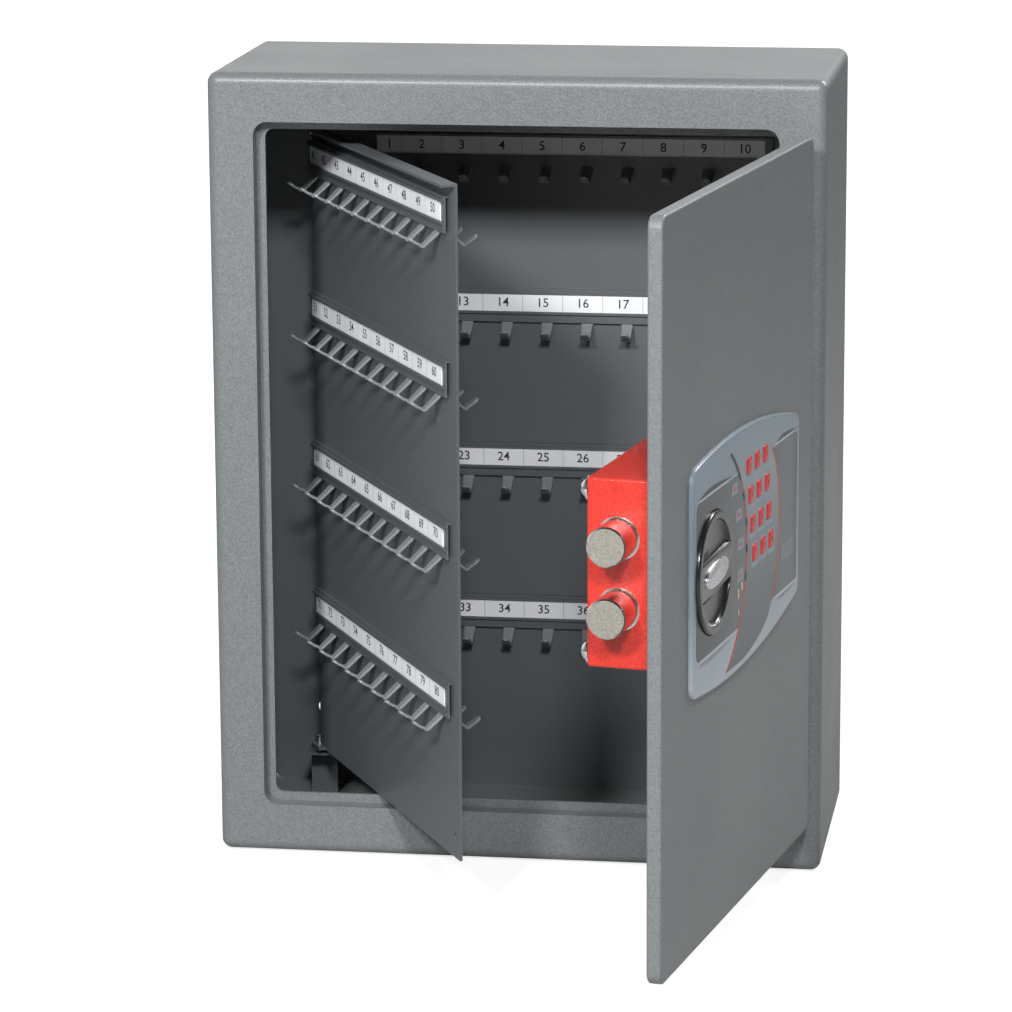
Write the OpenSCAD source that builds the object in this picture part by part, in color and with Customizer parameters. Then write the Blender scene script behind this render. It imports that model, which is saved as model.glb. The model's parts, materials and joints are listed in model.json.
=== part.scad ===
// Key cabinet for a wall: steel body, solid plate door on hidden gooseneck
// hinges, electronic lock with two round bolts, and an inner swing panel
// with numbered key hooks on both faces.
//
// Millimetres. +X is right and +Z is up for someone facing the cabinet, and +Y
// goes into the wall. The origin is the centre of the four wall-bolt holes, on
// the back face. Heights in the sections below count up from the cabinet's
// underside, and depths count back from its front face.

/* [Body] */
// Outer width of the body
body_w = 350; // [320:1:480]
// Outer height of the body
body_h = 455; // [440:1:600]
// Outer depth of the body, wall to front face
body_d = 150; // [140:1:220]
// Thickness of the body sheet
sheet_t = 2; // [1.5:0.1:3]
// Rounding of the outer edges and corners
edge_r = 6; // [4:0.5:10]
// Front border left of the opening, and the same right of it
side_border = 26.5; // [24:0.5:36]
// Front border above the opening
top_border = 27.5; // [20:0.5:40]
// Front border below the opening
bottom_border = 28.5; // [20:0.5:40]
// Corner radius of the opening
opening_r = 8; // [4:0.5:12]
// Depth of the rebate that the door closes into
rebate_d = 10; // [9.5:0.5:14]
// Width of the stop lip at the back of the rebate
lip_w = 5; // [3:0.5:8]

/* [Wall bolts] */
// Spacing of the wall-bolt holes across
wall_hole_dx = 280; // [200:1:300]
// Spacing of the wall-bolt holes up
wall_hole_dz = 360; // [200:1:400]
// Diameter of a wall-bolt hole
wall_hole_d = 9; // [6:0.5:12]

/* [Door] */
// Thickness of the solid door plate
door_t = 8; // [6:0.5:9]
// Gap all round the closed door
door_gap = 1.5; // [1.3:0.1:3]
// Rounding of the door's edges
door_edge_r = 1.5; // [0.5:0.1:3]
// Angle at which the door stands open in the stored pose
door_rest = 80; // [0:1:95]

/* [Door hinges] */
// Distance of the hinge axis from the body's right side
hinge_side = 9.2; // [8.5:0.1:12]
// Distance of the hinge axis behind the front face
hinge_back = 6.5; // [6.3:0.1:8]
// Height of each hinge above and below the door's middle
hinge_rise = 140; // [90:1:160]
// Height of a gooseneck arm
arm_h = 30; // [20:1:50]
// Thickness of a gooseneck arm
arm_t = 3; // [2:0.1:3.2]
// Diameter of a hinge pin
hinge_pin_d = 4; // [3:0.1:4.8]

/* [Swing panel] */
// Length of the panel from its axis to its free edge
panel_len = 256; // [250:1:265]
// Height of the panel's lower edge
panel_foot = 35; // [34.5:0.5:60]
// Height of the panel's upper edge
panel_head = 412; // [380:1:415]
// Thickness of the panel sheet
panel_t = 1.5; // [1:0.1:2]
// Distance of the panel's axis from the body's left side
panel_side = 38.8; // [34:0.1:45]
// Depth of the panel's axis
panel_back = 108; // [104:0.5:110]
// Angle at which the panel stands out in the stored pose
panel_rest = 61.5; // [0:0.5:75]
// Diameter of a panel pivot pin
panel_pin_d = 5; // [4:0.1:6.5]

/* [Key rows] */
// Distance between two hooks
hook_pitch = 24; // [20:0.5:25]
// Width of a hook strap where it leaves the rail
hook_w = 7; // [5:0.1:9]
// Thickness of a hook strap
hook_t = 1.5; // [1:0.1:2]
// Height of a number label
label_h = 12; // [8:0.1:13]
// Thickness of a number label
label_t = 0.6; // [0.4:0.1:0.8]
// Height of the top row's label on the back plate
back_row_top = 401.5; // [396:0.5:404]
// Distance between rows on the back plate
back_row_pitch = 94; // [90:0.5:100]
// Height of the top row's label on the swing panel
panel_row_top = 401.5; // [396:0.5:404]
// Distance between rows on the swing panel
panel_row_pitch = 90; // [88:0.5:100]

/* [Lock case] */
// Length of the lock cover across the door
cover_len = 140; // [130:1:160]
// Height of the lock cover
cover_h = 99; // [95:0.5:110]
// Depth of the lock cover behind the door plate
cover_d = 40; // [38:0.5:46]
// Thickness of the lock cover's sheet
cover_t = 1.5; // [1:0.1:2]
// Distance of the cover's bolt side from the door's free edge
cover_inset = 28; // [26:0.5:40]
// Height of the lock's middle above the door's middle
lock_rise = 9.5; // [0:0.5:20]

/* [Bolts] */
// Diameter of a round bolt
bolt_d = 21; // [16:0.5:26]
// Distance between the two bolts
bolt_pitch = 37; // [32:0.5:44]
// Distance of the bolts' axes behind the door plate
bolt_back = 23.5; // [20:0.5:26]
// How far the drawn bolts stand out of the cover
bolt_out = 21; // [12:0.5:21.5]
// Travel of the bolts when the knob throws them
bolt_throw = 16; // [10:0.5:17]

/* [Knob] */
// Diameter of the knob
knob_d = 65; // [50:0.5:68]
// Distance of the knob's axis from the cover's bolt side
knob_in = 57; // [52:0.5:62]
// How far the knob's face stands off the door plate
knob_front = 4.5; // [3.5:0.1:8]
// Turn that throws the bolts
knob_turn = 60; // [40:1:80]
// Diameter of the knob's spindle
spindle_d = 8; // [6:0.1:10]

/* [Fascia and keys] */
// Thickness of the fascia
fascia_t = 2.5; // [2.4:0.1:4]
// Width of the fascia
fascia_w = 210; // [200:1:220]
// Half the fascia's height at its tallest
fascia_half = 65; // [60:0.5:70]
// Width and height of a key
key_size = 9.2; // [7:0.1:11]
// Distance between two keys, both ways
key_pitch = 16.5; // [14:0.1:18]
// Sideways step from one row of keys to the next
key_lean = 4.1; // [0:0.1:6]
// How far a key stands proud of the fascia
key_proud = 1; // [0.6:0.1:1.6]
// How far a key can be pressed
key_travel = 0.8; // [0.4:0.1:1]

/* [Hidden] */

$fn = 48;
soft_fn = 32;            // circle steps round a corner of a hulled plate
edge_fn = 16;            // circle steps round its edge
run = 0.05;              // radial clearance of a running fit
play = 0.3;              // clearance of parts that pass each other
eps = 0.5;               // how far a cutter reaches past a face

steel = [0.46, 0.49, 0.50];
dark_steel = [0.36, 0.39, 0.41];
zinc = [0.75, 0.75, 0.73];
red = [0.80, 0.10, 0.06];
black = [0.08, 0.08, 0.09];

// body
foot_z = -body_h / 2;
head_z = body_h / 2;
front_y = -body_d;
open_x = body_w / 2 - side_border;
open_z0 = foot_z + bottom_border;
open_z1 = head_z - top_border;
inner_x = body_w / 2 - sheet_t;
inner_z = body_h / 2 - sheet_t;
rebate_t = sheet_t;
notch_air = 1.5;                     // room above and below a hinge arm in the rebate
lip_corner = 3;                      // how much tighter the lip's corner is

// door, closed
door_x = open_x - door_gap;
door_z0 = open_z0 + door_gap;
door_z1 = open_z1 - door_gap;
door_mid = (door_z0 + door_z1) / 2;
door_back = front_y + door_t;

// door hinges
hinge_x = body_w / 2 - hinge_side;
hinge_y = front_y + hinge_back;
hinge_air = 0.4;
eye_r = hinge_back - sheet_t - hinge_air - 0.1;
web_len = 14;
ear_t = 3;
ear_gap = 0.5;
throat = hinge_side + 13.3;         // arm's reach round the border's edge
arm_reach = 20.4;                    // arm's reach behind the hinge axis
arm_start = 2.5;
foot_len = 22;
bracket_back = 22;                   // bracket's depth behind the hinge axis
bracket_web = 1.5;

// swing panel
panel_x = -body_w / 2 + panel_side;
panel_y = front_y + panel_back;
panel_z0 = foot_z + panel_foot;
panel_z1 = foot_z + panel_head;
flange_w = 8;                        // folded top edge
ear_len = 14;
ledge_drop = 3;
ledge_t = 1.5;
ear_wall = 2.5;                      // metal round a panel pin
flange_air = 4;                      // gap between the ear and the folded edge
corner_hole_d = 5;
corner_hole_in = 7;                  // hole's distance from the panel's free end
corner_hole_up = 12;                 // and from its lower edge
pin_grip = 1;                        // pin's length past its bracket
pin_stand = 5;                       // pin's length past its ear
pin_shoulder = 2;                    // how far a pin's shoulder stands out
bracket_left = 7;
bracket_right = 9;
bracket_front = 9;
bracket_step = 9.5;
bracket_foot = 24;

// key rows
rows = 4;
hooks = 10;
first_cell = 15;
row_len = first_cell + (hooks - 1) * hook_pitch;
rail_end = 4.5;
rail_len = row_len + 2 * rail_end;
rail_t = 1;
rail_above = 2.5;
rail_below = 17.8;
lip_t = 0.8;
label_fit = 0.05;
hook_root = -rail_below - 0.4;       // the strap turns out just under the rail
hook_low = [-11, -26.6];
hook_tip = [-18.2, -21.4];
hook_shift = 2.5;                    // hooks sit a little past the middle of their cells
hook_taper = 0.36;                   // half width of a hook's tip, as a share of its root
tab_top = -6;
back_row_x = -108;                   // left end of the back rails
panel_row_x = 5;                     // start of the panel's rails from its axis

// lock
cover_x = -door_x + cover_inset;
lock_z = door_mid + lock_rise;
cover_y = door_back + cover_d;
bolt_y = door_back + bolt_back;
bolt_tip_x = cover_x - bolt_out;
bolt_len = 62;
bar_x = bolt_tip_x + bolt_len;
bar_t = 5;
guide_x = cover_x + cover_t;
guide_t = 12;
guide_wall = 3;                      // metal above and below the bolts
bolt_air = 1.2;                      // gap round a bolt in the cover
stud_air = 0.5;                      // gap round a stud in the cover
bar_past = 8;                        // bar's reach past the bolts' axes
stud_d = 5;
stud_in = 7;
nut_d = 13;
nut_h = 5.2;
nut_rim = 1.2;
nut_dome_d = 11.6;
nut_wall = 2;                        // metal left over the stud's end

// knob and drive
knob_x = cover_x + knob_in;
knob_z = door_mid;
cam_t = 4;
cam_y = door_back + 2;
crank_r = bolt_throw / 2 / sin(knob_turn / 2);
crank_pin_d = 6;
cam_rim = 5;                         // metal round the crank pin's circle
flat_in = 1;                         // depth of the spindle's flats
crank_x = bolt_throw / 2;
crank_z = crank_r * cos(knob_turn / 2);
arm_y = cam_y + cam_t + play;        // sliding arm of the bolt bar
arm_plate_t = 3;
arm_end_x = knob_x + 40;
arm_low_z = knob_z + 3;
arm_top_z = knob_z + 24;
sol_x = knob_x + 14;
sol_pin_d = 5;
sol_travel = 4;
notch_slack = 0.3;                   // extra room beside the solenoid's pin

// fascia
fascia_y = front_y - fascia_t;
fascia_x0 = knob_x - 37;
fascia_arc_r = 578;
fascia_arc_x = knob_x + 42.5;
fascia_corner = 8;
well_d = knob_d + 2 * play + 0.4;
key_x = knob_x + 67.5;
key_z = knob_z + 42.4;
key_fit = 0.2;
wire_hole_drop = 30;
wire_hole_d = 10;

// knob's face
knob_tilt = 3;                       // lean of the bar and the badge at rest
knob_bar = 18;
knob_wall = 5;
well_deep = 2.6;
knob_chamfer = 0.8;
badge_t = 0.7;
badge_h = 13;
badge_len = 28;

// electronics
sol_w = 18;
sol_h = 24;
sol_deep = 22;
sol_rise = 7;
sol_front = 8;
board_w = 46;
board_h = 88;
board_t = 1.6;
board_gap = 2.6;
board_inset = 4;
post_d = 5;
tray_w = 35;
tray_h = 56;
tray_d = 34;
tray_t = 1.5;
tray_x = cover_x + cover_len - cover_t - tray_w - 1;
tray_z = lock_z - tray_h / 2;
cell_d = 14.5;
cell_len = 50.5;
cell_gap = 2;
cell_cap_d = 5.5;

// ---- shapes ----

function unit(v) = v / norm(v);
function turned(v) = [-v[1], v[0]];
function step_dir(p, i) = unit(p[i + 1] - p[i]);
function mitre(p, i) =
    let (last = len(p) - 1,
         a = turned(step_dir(p, max(i - 1, 0))),
         b = turned(step_dir(p, min(i, last - 1))))
    (a + b) / (1 + a * b);
// outline of a band of thickness t along the points p
function band(p, t) = concat(
    [for (i = [0 : len(p) - 1]) p[i] + mitre(p, i) * t / 2],
    [for (i = [len(p) - 1 : -1 : 0]) p[i] - mitre(p, i) * t / 2]);

// a flat shape drawn in X and Z, standing from y0 back to y1
module stand(y0, y1) {
    translate([0, y1, 0]) rotate([90, 0, 0]) linear_extrude(y1 - y0) children();
}

// a profile drawn in Y and Z, running along X
module run_x(x0, x1) {
    translate([x0, 0, 0]) rotate([90, 0, 90]) linear_extrude(x1 - x0) children();
}

// a round rod along Y, with its axis at x and z
module rod_y(x, z, d, y0, y1) {
    translate([x, y1, z]) rotate([90, 0, 0]) cylinder(d = d, h = y1 - y0);
}

// a round rod along X, with its axis at y and z
module rod_x(y, z, d, x0, x1) {
    translate([x0, y, z]) rotate([0, 90, 0]) cylinder(d = d, h = x1 - x0);
}

module block(lo, hi) {
    translate(lo) cube(hi - lo);
}

module round_rect(x0, x1, z0, z1, r) {
    translate([x0 + r, z0]) square([x1 - x0 - 2 * r, z1 - z0]);
    translate([x0, z0 + r]) square([x1 - x0, z1 - z0 - 2 * r]);
    for (x = [x0 + r, x1 - r], z = [z0 + r, z1 - r]) translate([x, z]) circle(r);
}

// a block with round upright corners and round front edges
module soft_box(x, z, front, back, r) {
    stand(front + r, back) round_rect(-x, x, -z, z, r);
    block([-x + r, front, -z + r], [x - r, front + 2 * r, z - r]);
    for (s = [-1, 1]) {
        rod_x(front + r, s * (z - r), 2 * r, -x + r, x - r);
        translate([s * (x - r), front + r, -z + r]) cylinder(r = r, h = 2 * (z - r));
        for (e = [-1, 1]) translate([s * (x - r), front + r, e * (z - r)]) sphere(r);
    }
}

// a plate with rounded corners and rounded edges
module soft_plate(x0, x1, z0, z1, y0, y1, corner, r) {
    hull() {
        for (x = [x0 + corner, x1 - corner], y = [y0 + r, y1 - r], z = [z0 + corner, z1 - corner])
            translate([x, y, z]) rotate([90, 0, 0]) rotate_extrude($fn = soft_fn)
                translate([corner - r, 0]) circle(r, $fn = edge_fn);
    }
}

// puts a piece drawn on the closed door where the door stands
module on_door() {
    translate([hinge_x, hinge_y, 0]) rotate(door_rest) translate([-hinge_x, -hinge_y, 0])
        children();
}

// puts a piece drawn along +X from the panel's axis where the panel stands
module on_panel() {
    translate([panel_x, panel_y, 0]) rotate(-panel_rest) children();
}

// the panel's rear face, drawn as if it were a front face
module on_panel_rear() {
    on_panel() translate([panel_row_x + rail_len + panel_row_x, 0, 0]) rotate(180) children();
}

// ---- body ----

module body_shell() {
    color(steel) difference() {
        soft_box(body_w / 2, body_h / 2, front_y, 0, edge_r);
        soft_box(inner_x, inner_z, front_y + sheet_t, 2, edge_r - sheet_t);
        stand(front_y - eps, front_y + sheet_t + eps)
            round_rect(-open_x, open_x, open_z0, open_z1, opening_r);
    }
}

module back_plate() {
    color(dark_steel) difference() {
        stand(-sheet_t, 0) round_rect(-inner_x, inner_x, -inner_z, inner_z, edge_r);
        for (sx = [-1, 1], sz = [-1, 1])
            rod_y(sx * wall_hole_dx / 2, sz * wall_hole_dz / 2, wall_hole_d, -sheet_t - eps, eps);
    }
}

module rebate_frame() {
    y0 = front_y + sheet_t;
    y1 = front_y + rebate_d + sheet_t;
    notch = arm_h / 2 + notch_air;
    color(steel) difference() {
        stand(y0, y1) round_rect(-open_x - rebate_t, open_x + rebate_t,
            open_z0 - rebate_t, open_z1 + rebate_t, opening_r + rebate_t);
        stand(y0 - eps, y1 - rebate_t) round_rect(-open_x, open_x, open_z0, open_z1, opening_r);
        stand(y0 - eps, y1 + eps) round_rect(-open_x + lip_w, open_x,
            open_z0 + lip_w, open_z1 - lip_w, opening_r - lip_corner);
        for (s = [-1, 1])
            block([open_x - 1, y0 - eps, door_mid + s * hinge_rise - notch],
                [open_x + rebate_t + eps, y1 + eps, door_mid + s * hinge_rise + notch]);
    }
}

// ---- key rows: x along the row, y = 0 on the sheet, z = 0 at the label's top ----

module rail_profile() {
    web_y = -hook_t - rail_t;
    lip_y = web_y - label_t - 2 * label_fit;
    translate([web_y, rail_above - rail_t]) square([rail_t + hook_t, rail_t]);
    translate([web_y, -rail_below]) square([rail_t, rail_below + rail_above]);
    for (s = [0, 1]) {
        edge = s == 0 ? label_fit : -label_h - label_fit - lip_t;
        grip = s == 0 ? -lip_t : 0;
        translate([lip_y - lip_t, edge]) square([web_y - lip_y + lip_t + 0.01, lip_t]);
        translate([lip_y - lip_t, edge + grip]) square([lip_t, 2 * lip_t]);
    }
}

module rail() {
    color(steel) run_x(0, rail_len) rail_profile();
}

// the strap's tab lies behind the rail, then it runs out, down and up again
module hook() {
    path = [[-hook_t / 2, tab_top], [-hook_t / 2, hook_root], hook_low, hook_tip];
    low = hook_low[1] - 2 * hook_t;
    tip = hook_w * hook_taper;
    color(steel) intersection() {
        run_x(-hook_w / 2, hook_w / 2) polygon(band(path, hook_t));
        stand(hook_tip[0] - 2 * hook_t, eps) polygon([[-hook_w / 2, 0], [hook_w / 2, 0],
            [hook_w / 2, hook_root], [tip, low], [-tip, low], [-hook_w / 2, hook_root]]);
    }
}

function hook_x(i) = rail_end + first_cell - hook_pitch / 2 + hook_shift + i * hook_pitch;

module row_hooks() {
    for (i = [0 : hooks - 1]) translate([hook_x(i), 0, 0]) hook();
}

module row_label() {
    y = -hook_t - rail_t - label_fit;
    color("white") block([rail_end, y - label_t, -label_h], [rail_end + row_len, y, 0]);
}

function back_row_z(i) = foot_z + back_row_top - i * back_row_pitch;
function panel_row_z(i) = foot_z + panel_row_top - i * panel_row_pitch;

module at_back_row(i) {
    translate([back_row_x, -sheet_t, back_row_z(i)]) children();
}
module at_front_row(i) {
    on_panel() translate([panel_row_x, -panel_t / 2, panel_row_z(i)]) children();
}
module at_rear_row(i) {
    on_panel_rear() translate([panel_row_x, -panel_t / 2, panel_row_z(i)]) children();
}

module back_rail(i) { at_back_row(i) rail(); }
module front_rail(i) { at_front_row(i) rail(); }
module rear_rail(i) { at_rear_row(i) rail(); }
module back_hooks() { for (i = [0 : rows - 1]) at_back_row(i) row_hooks(); }
module front_hooks() { for (i = [0 : rows - 1]) at_front_row(i) row_hooks(); }
module rear_hooks() { for (i = [0 : rows - 1]) at_rear_row(i) row_hooks(); }
module back_labels() { for (i = [0 : rows - 1]) at_back_row(i) row_label(); }
module front_labels() { for (i = [0 : rows - 1]) at_front_row(i) row_label(); }
module rear_labels() { for (i = [0 : rows - 1]) at_rear_row(i) row_label(); }

// ---- swing panel ----

// the folded top edge starts past the pivot ear, and the ears wrap the pins
module panel_sheet() {
    ear_r = panel_pin_d / 2 + ear_wall;
    color(steel) on_panel() difference() {
        union() {
            block([panel_row_x - 1, -panel_t / 2, panel_z0], [panel_len, panel_t / 2, panel_z1]);
            block([ear_len + flange_air, -panel_t / 2 - flange_w, panel_z1 - panel_t],
                [panel_len, panel_t / 2, panel_z1]);
            for (z = [panel_z0, panel_z1 - panel_t]) {
                block([0, -ear_r, z], [ear_len, ear_r, z + panel_t]);
                translate([0, 0, z]) cylinder(r = ear_r, h = panel_t);
            }
        }
        translate([0, 0, panel_z0 - eps])
            cylinder(r = panel_pin_d / 2 + run, h = panel_z1 - panel_z0 + 2 * eps);
        translate([panel_len - corner_hole_in, 0, panel_z0 + corner_hole_up]) rotate([90, 0, 0])
            cylinder(d = corner_hole_d, h = panel_t + 2 * eps, center = true);
    }
}

// shoulder pins: each stands on its bracket's ledge and passes the panel's ear
module panel_pins() {
    color(zinc) for (top = [0, 1]) {
        z = top == 1 ? panel_z1 : panel_z0;
        translate([panel_x, panel_y, z]) mirror([0, 0, top]) {
            translate([0, 0, -ledge_drop - ledge_t - pin_grip])
                cylinder(d = panel_pin_d, h = ledge_drop + ledge_t + panel_t + pin_stand);
            translate([0, 0, -ledge_drop])
                cylinder(d = panel_pin_d + 2 * pin_shoulder, h = ledge_drop);
        }
    }
}

// folded brackets on the body's floor and roof, each with a ledge for a pin
module panel_brackets() {
    color(steel) for (top = [0, 1]) {
        wall_z = top == 1 ? inner_z : -inner_z;
        s = top == 1 ? -1 : 1;
        face = top == 1 ? inner_z - panel_z1 : panel_z0 + inner_z;
        ledge = face - ledge_drop;
        difference() {
            translate([panel_x, panel_y, wall_z]) scale([1, 1, s])
                run_x(-bracket_left, bracket_right) polygon(band([
                    [-bracket_front, ledge - ledge_t / 2], [bracket_step, ledge - ledge_t / 2],
                    [bracket_step, ledge_t / 2], [bracket_foot, ledge_t / 2]], ledge_t));
            translate([panel_x, panel_y, 0])
                cylinder(d = panel_pin_d, h = body_h + 2 * eps, center = true);
        }
    }
}

// ---- door ----

module door_plate() {
    color(steel) on_door() difference() {
        soft_plate(-door_x, door_x, door_z0, door_z1, front_y, door_back,
            opening_r - 1, door_edge_r);
        rod_y(knob_x, knob_z, spindle_d + 2 * run, front_y - eps, door_back + eps);
        rod_y(key_x, knob_z - wire_hole_drop, wire_hole_d, front_y - eps, door_back + eps);
    }
}

// each arm passes behind the body's border and is welded to the door's inner face
module hinge_arms() {
    foot_y = door_t - hinge_back + arm_t / 2;
    color(steel) on_door() for (s = [-1, 1])
        translate([hinge_x, hinge_y, door_mid + s * hinge_rise - arm_h / 2]) difference() {
            union() {
                cylinder(r = eye_r, h = arm_h);
                linear_extrude(arm_h) polygon(band([[0, arm_start], [0, arm_reach],
                    [-throat, arm_reach], [-throat, foot_y], [-throat - foot_len, foot_y]], arm_t));
            }
            translate([0, 0, -eps]) cylinder(r = hinge_pin_d / 2 + run, h = arm_h + 2 * eps);
        }
}

module hinge_pins() {
    pin_len = arm_h + 2 * (ear_t + ear_gap) + 1;
    color(zinc) for (s = [-1, 1])
        translate([hinge_x, hinge_y, door_mid + s * hinge_rise - pin_len / 2])
            cylinder(d = hinge_pin_d, h = pin_len);
}

module hinge_brackets() {
    ear_h = arm_h / 2 + ear_gap;
    x0 = hinge_x - eye_r - hinge_air;
    y0 = front_y + sheet_t + hinge_air;
    y1 = hinge_y + bracket_back;
    bevel = edge_r - sheet_t;
    color(steel) for (s = [-1, 1]) translate([0, 0, door_mid + s * hinge_rise]) {
        for (e = [0, 1]) mirror([0, 0, e]) translate([0, 0, ear_h]) linear_extrude(ear_t)
            difference() {
                polygon([[x0, y0], [inner_x - bevel, y0], [inner_x, y0 + bevel],
                    [inner_x, y1], [x0, y1]]);
                translate([hinge_x, hinge_y]) circle(d = hinge_pin_d);
            }
        block([inner_x - bracket_web, y1 - web_len, -ear_h - ear_t],
            [inner_x, y1, ear_h + ear_t]);
    }
}

// ---- lock case ----

module lock_cover() {
    z0 = lock_z - cover_h / 2;
    z1 = lock_z + cover_h / 2;
    x1 = cover_x + cover_len;
    color(red) on_door() difference() {
        block([cover_x, door_back, z0], [x1, cover_y, z1]);
        block([cover_x + cover_t, door_back - eps, z0 + cover_t],
            [x1 - cover_t, cover_y - cover_t, z1 - cover_t]);
        for (s = [-1, 1])
            rod_x(bolt_y, lock_z + s * bolt_pitch / 2, bolt_d + 2 * bolt_air, cover_x - eps, guide_x + eps);
        for (p = stud_places())
            rod_y(p[0], p[1], stud_d + 2 * stud_air, cover_y - cover_t - eps, cover_y + eps);
    }
}

function stud_places() = [for (x = [cover_x + stud_in, cover_x + cover_len - stud_in],
    z = [lock_z - cover_h / 2 + stud_in, lock_z + cover_h / 2 - stud_in]) [x, z]];

module cover_studs() {
    color(zinc) on_door() for (p = stud_places())
        rod_y(p[0], p[1], stud_d, door_back, cover_y + nut_h - nut_wall);
}

// dome nuts: a flange and a low round cap over the stud's end
module cover_nuts() {
    rise = nut_h - nut_rim;
    dome_r = (pow(nut_dome_d / 2, 2) + pow(rise, 2)) / (2 * rise);
    color("lightgray") on_door() for (p = stud_places())
        translate([p[0], cover_y, p[1]]) rotate([-90, 0, 0]) difference() {
            union() {
                cylinder(d = nut_d, h = nut_rim);
                intersection() {
                    translate([0, 0, nut_h - dome_r]) sphere(dome_r);
                    cylinder(d = nut_d, h = nut_h);
                }
            }
            translate([0, 0, -eps]) cylinder(d = stud_d, h = nut_h - nut_wall + eps);
        }
}

// ---- bolts and their drive ----

module bolt_guide() {
    half = bolt_pitch / 2 + bolt_d / 2 + guide_wall;
    color(zinc) on_door() difference() {
        block([guide_x, door_back, lock_z - half],
            [guide_x + guide_t, cover_y - cover_t, lock_z + half]);
        for (s = [-1, 1]) rod_x(bolt_y, lock_z + s * bolt_pitch / 2, bolt_d + 2 * run,
            guide_x - eps, guide_x + guide_t + eps);
    }
}

module lock_bolts() {
    chamfer = 0.8;
    color(zinc) on_door() for (s = [-1, 1])
        translate([bolt_tip_x, bolt_y, lock_z + s * bolt_pitch / 2]) rotate([0, 90, 0]) {
            cylinder(d1 = bolt_d - 2 * chamfer, d2 = bolt_d, h = chamfer);
            translate([0, 0, chamfer]) cylinder(d = bolt_d, h = bolt_len - chamfer);
        }
}

// the upright joins the bolts, and the arm carries the slot and the blocking notch
module bolt_bar() {
    half = bolt_pitch / 2 + bar_past;
    slot_w = crank_pin_d + 2 * play;
    notch_x = sol_x + bolt_throw;
    notch_w = sol_pin_d + 2 * (play + notch_slack);
    color(zinc) on_door() difference() {
        union() {
            block([bar_x, arm_y, lock_z - half], [bar_x + bar_t, bolt_y + bar_past, lock_z + half]);
            block([bar_x, arm_y, arm_low_z], [arm_end_x, arm_y + arm_plate_t, arm_top_z]);
        }
        block([knob_x + crank_x - slot_w / 2, arm_y - eps, knob_z + crank_z - slot_w / 2],
            [knob_x + crank_x + slot_w / 2, arm_y + arm_plate_t + eps, knob_z + crank_r + slot_w / 2]);
        block([notch_x - notch_w / 2, arm_y - eps, arm_top_z - sol_travel],
            [notch_x + notch_w / 2, arm_y + arm_plate_t + eps, arm_top_z + eps]);
    }
}

module drive_cam() {
    flat = spindle_d / 2 - flat_in;
    color(zinc) on_door() {
        difference() {
            rod_y(knob_x, knob_z, 2 * (crank_r + cam_rim), cam_y, cam_y + cam_t);
            block([knob_x - flat, cam_y - eps, knob_z - flat],
                [knob_x + flat, cam_y + cam_t + eps, knob_z + flat]);
        }
        rod_y(knob_x + crank_x, knob_z + crank_z, crank_pin_d, cam_y + cam_t,
            arm_y + arm_plate_t + 1);
    }
}

// round in the door, square in the cam
module knob_spindle() {
    color(zinc) on_door() {
        rod_y(knob_x, knob_z, spindle_d, front_y, cam_y);
        block([knob_x - spindle_d / 2 + 1, cam_y, knob_z - spindle_d / 2 + 1],
            [knob_x + spindle_d / 2 - 1, cam_y + cam_t, knob_z + spindle_d / 2 - 1]);
    }
}

// ---- electronics ----

module solenoid() {
    z0 = arm_top_z + sol_rise;
    y0 = arm_y + arm_plate_t / 2;
    color([0.2, 0.2, 0.22]) on_door() difference() {
        block([sol_x - sol_w / 2, door_back, z0], [sol_x + sol_w / 2, y0 + sol_front, z0 + sol_h]);
        translate([sol_x, y0, z0 - eps]) cylinder(r = sol_pin_d / 2 + run, h = sol_deep);
    }
}

module solenoid_pin() {
    z0 = arm_top_z + play;
    color(zinc) on_door() translate([sol_x, arm_y + arm_plate_t / 2, z0])
        cylinder(d = sol_pin_d, h = sol_deep - 2);
}

module circuit_board() {
    y1 = cover_y - cover_t;
    x0 = bar_x + bar_t + board_inset;
    half = board_h / 2;
    color([0.10, 0.35, 0.18]) on_door() {
        block([x0, y1 - board_gap - board_t, lock_z - half], [x0 + board_w, y1 - board_gap, lock_z + half]);
        for (x = [x0 + board_inset, x0 + board_w - board_inset], s = [-1, 1])
            rod_y(x, lock_z + s * (half - board_inset), post_d, y1 - board_gap, y1);
    }
}

module battery_tray() {
    color(black) on_door() difference() {
        block([tray_x, door_back, tray_z], [tray_x + tray_w, door_back + tray_d, tray_z + tray_h]);
        block([tray_x + tray_t, door_back + tray_t, tray_z + tray_t],
            [tray_x + tray_w - tray_t, door_back + tray_d + eps, tray_z + tray_h - tray_t]);
    }
}

module batteries() {
    edge = tray_t + play + cell_d / 2;
    color("steelblue") on_door() for (i = [0, 1], j = [0, 1])
        translate([tray_x + edge + i * (cell_d + cell_gap),
            door_back + edge + j * (cell_d + play), tray_z + tray_t + play]) {
            cylinder(d = cell_d, h = cell_len - 1);
            translate([0, 0, cell_len - 1]) cylinder(d = cell_cap_d, h = 1);
        }
}

// ---- fascia, knob and keys ----

function fascia_half_at(x, inset) =
    fascia_half - inset - fascia_arc_r + sqrt(pow(fascia_arc_r, 2) - pow(x - fascia_arc_x, 2));

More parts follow.
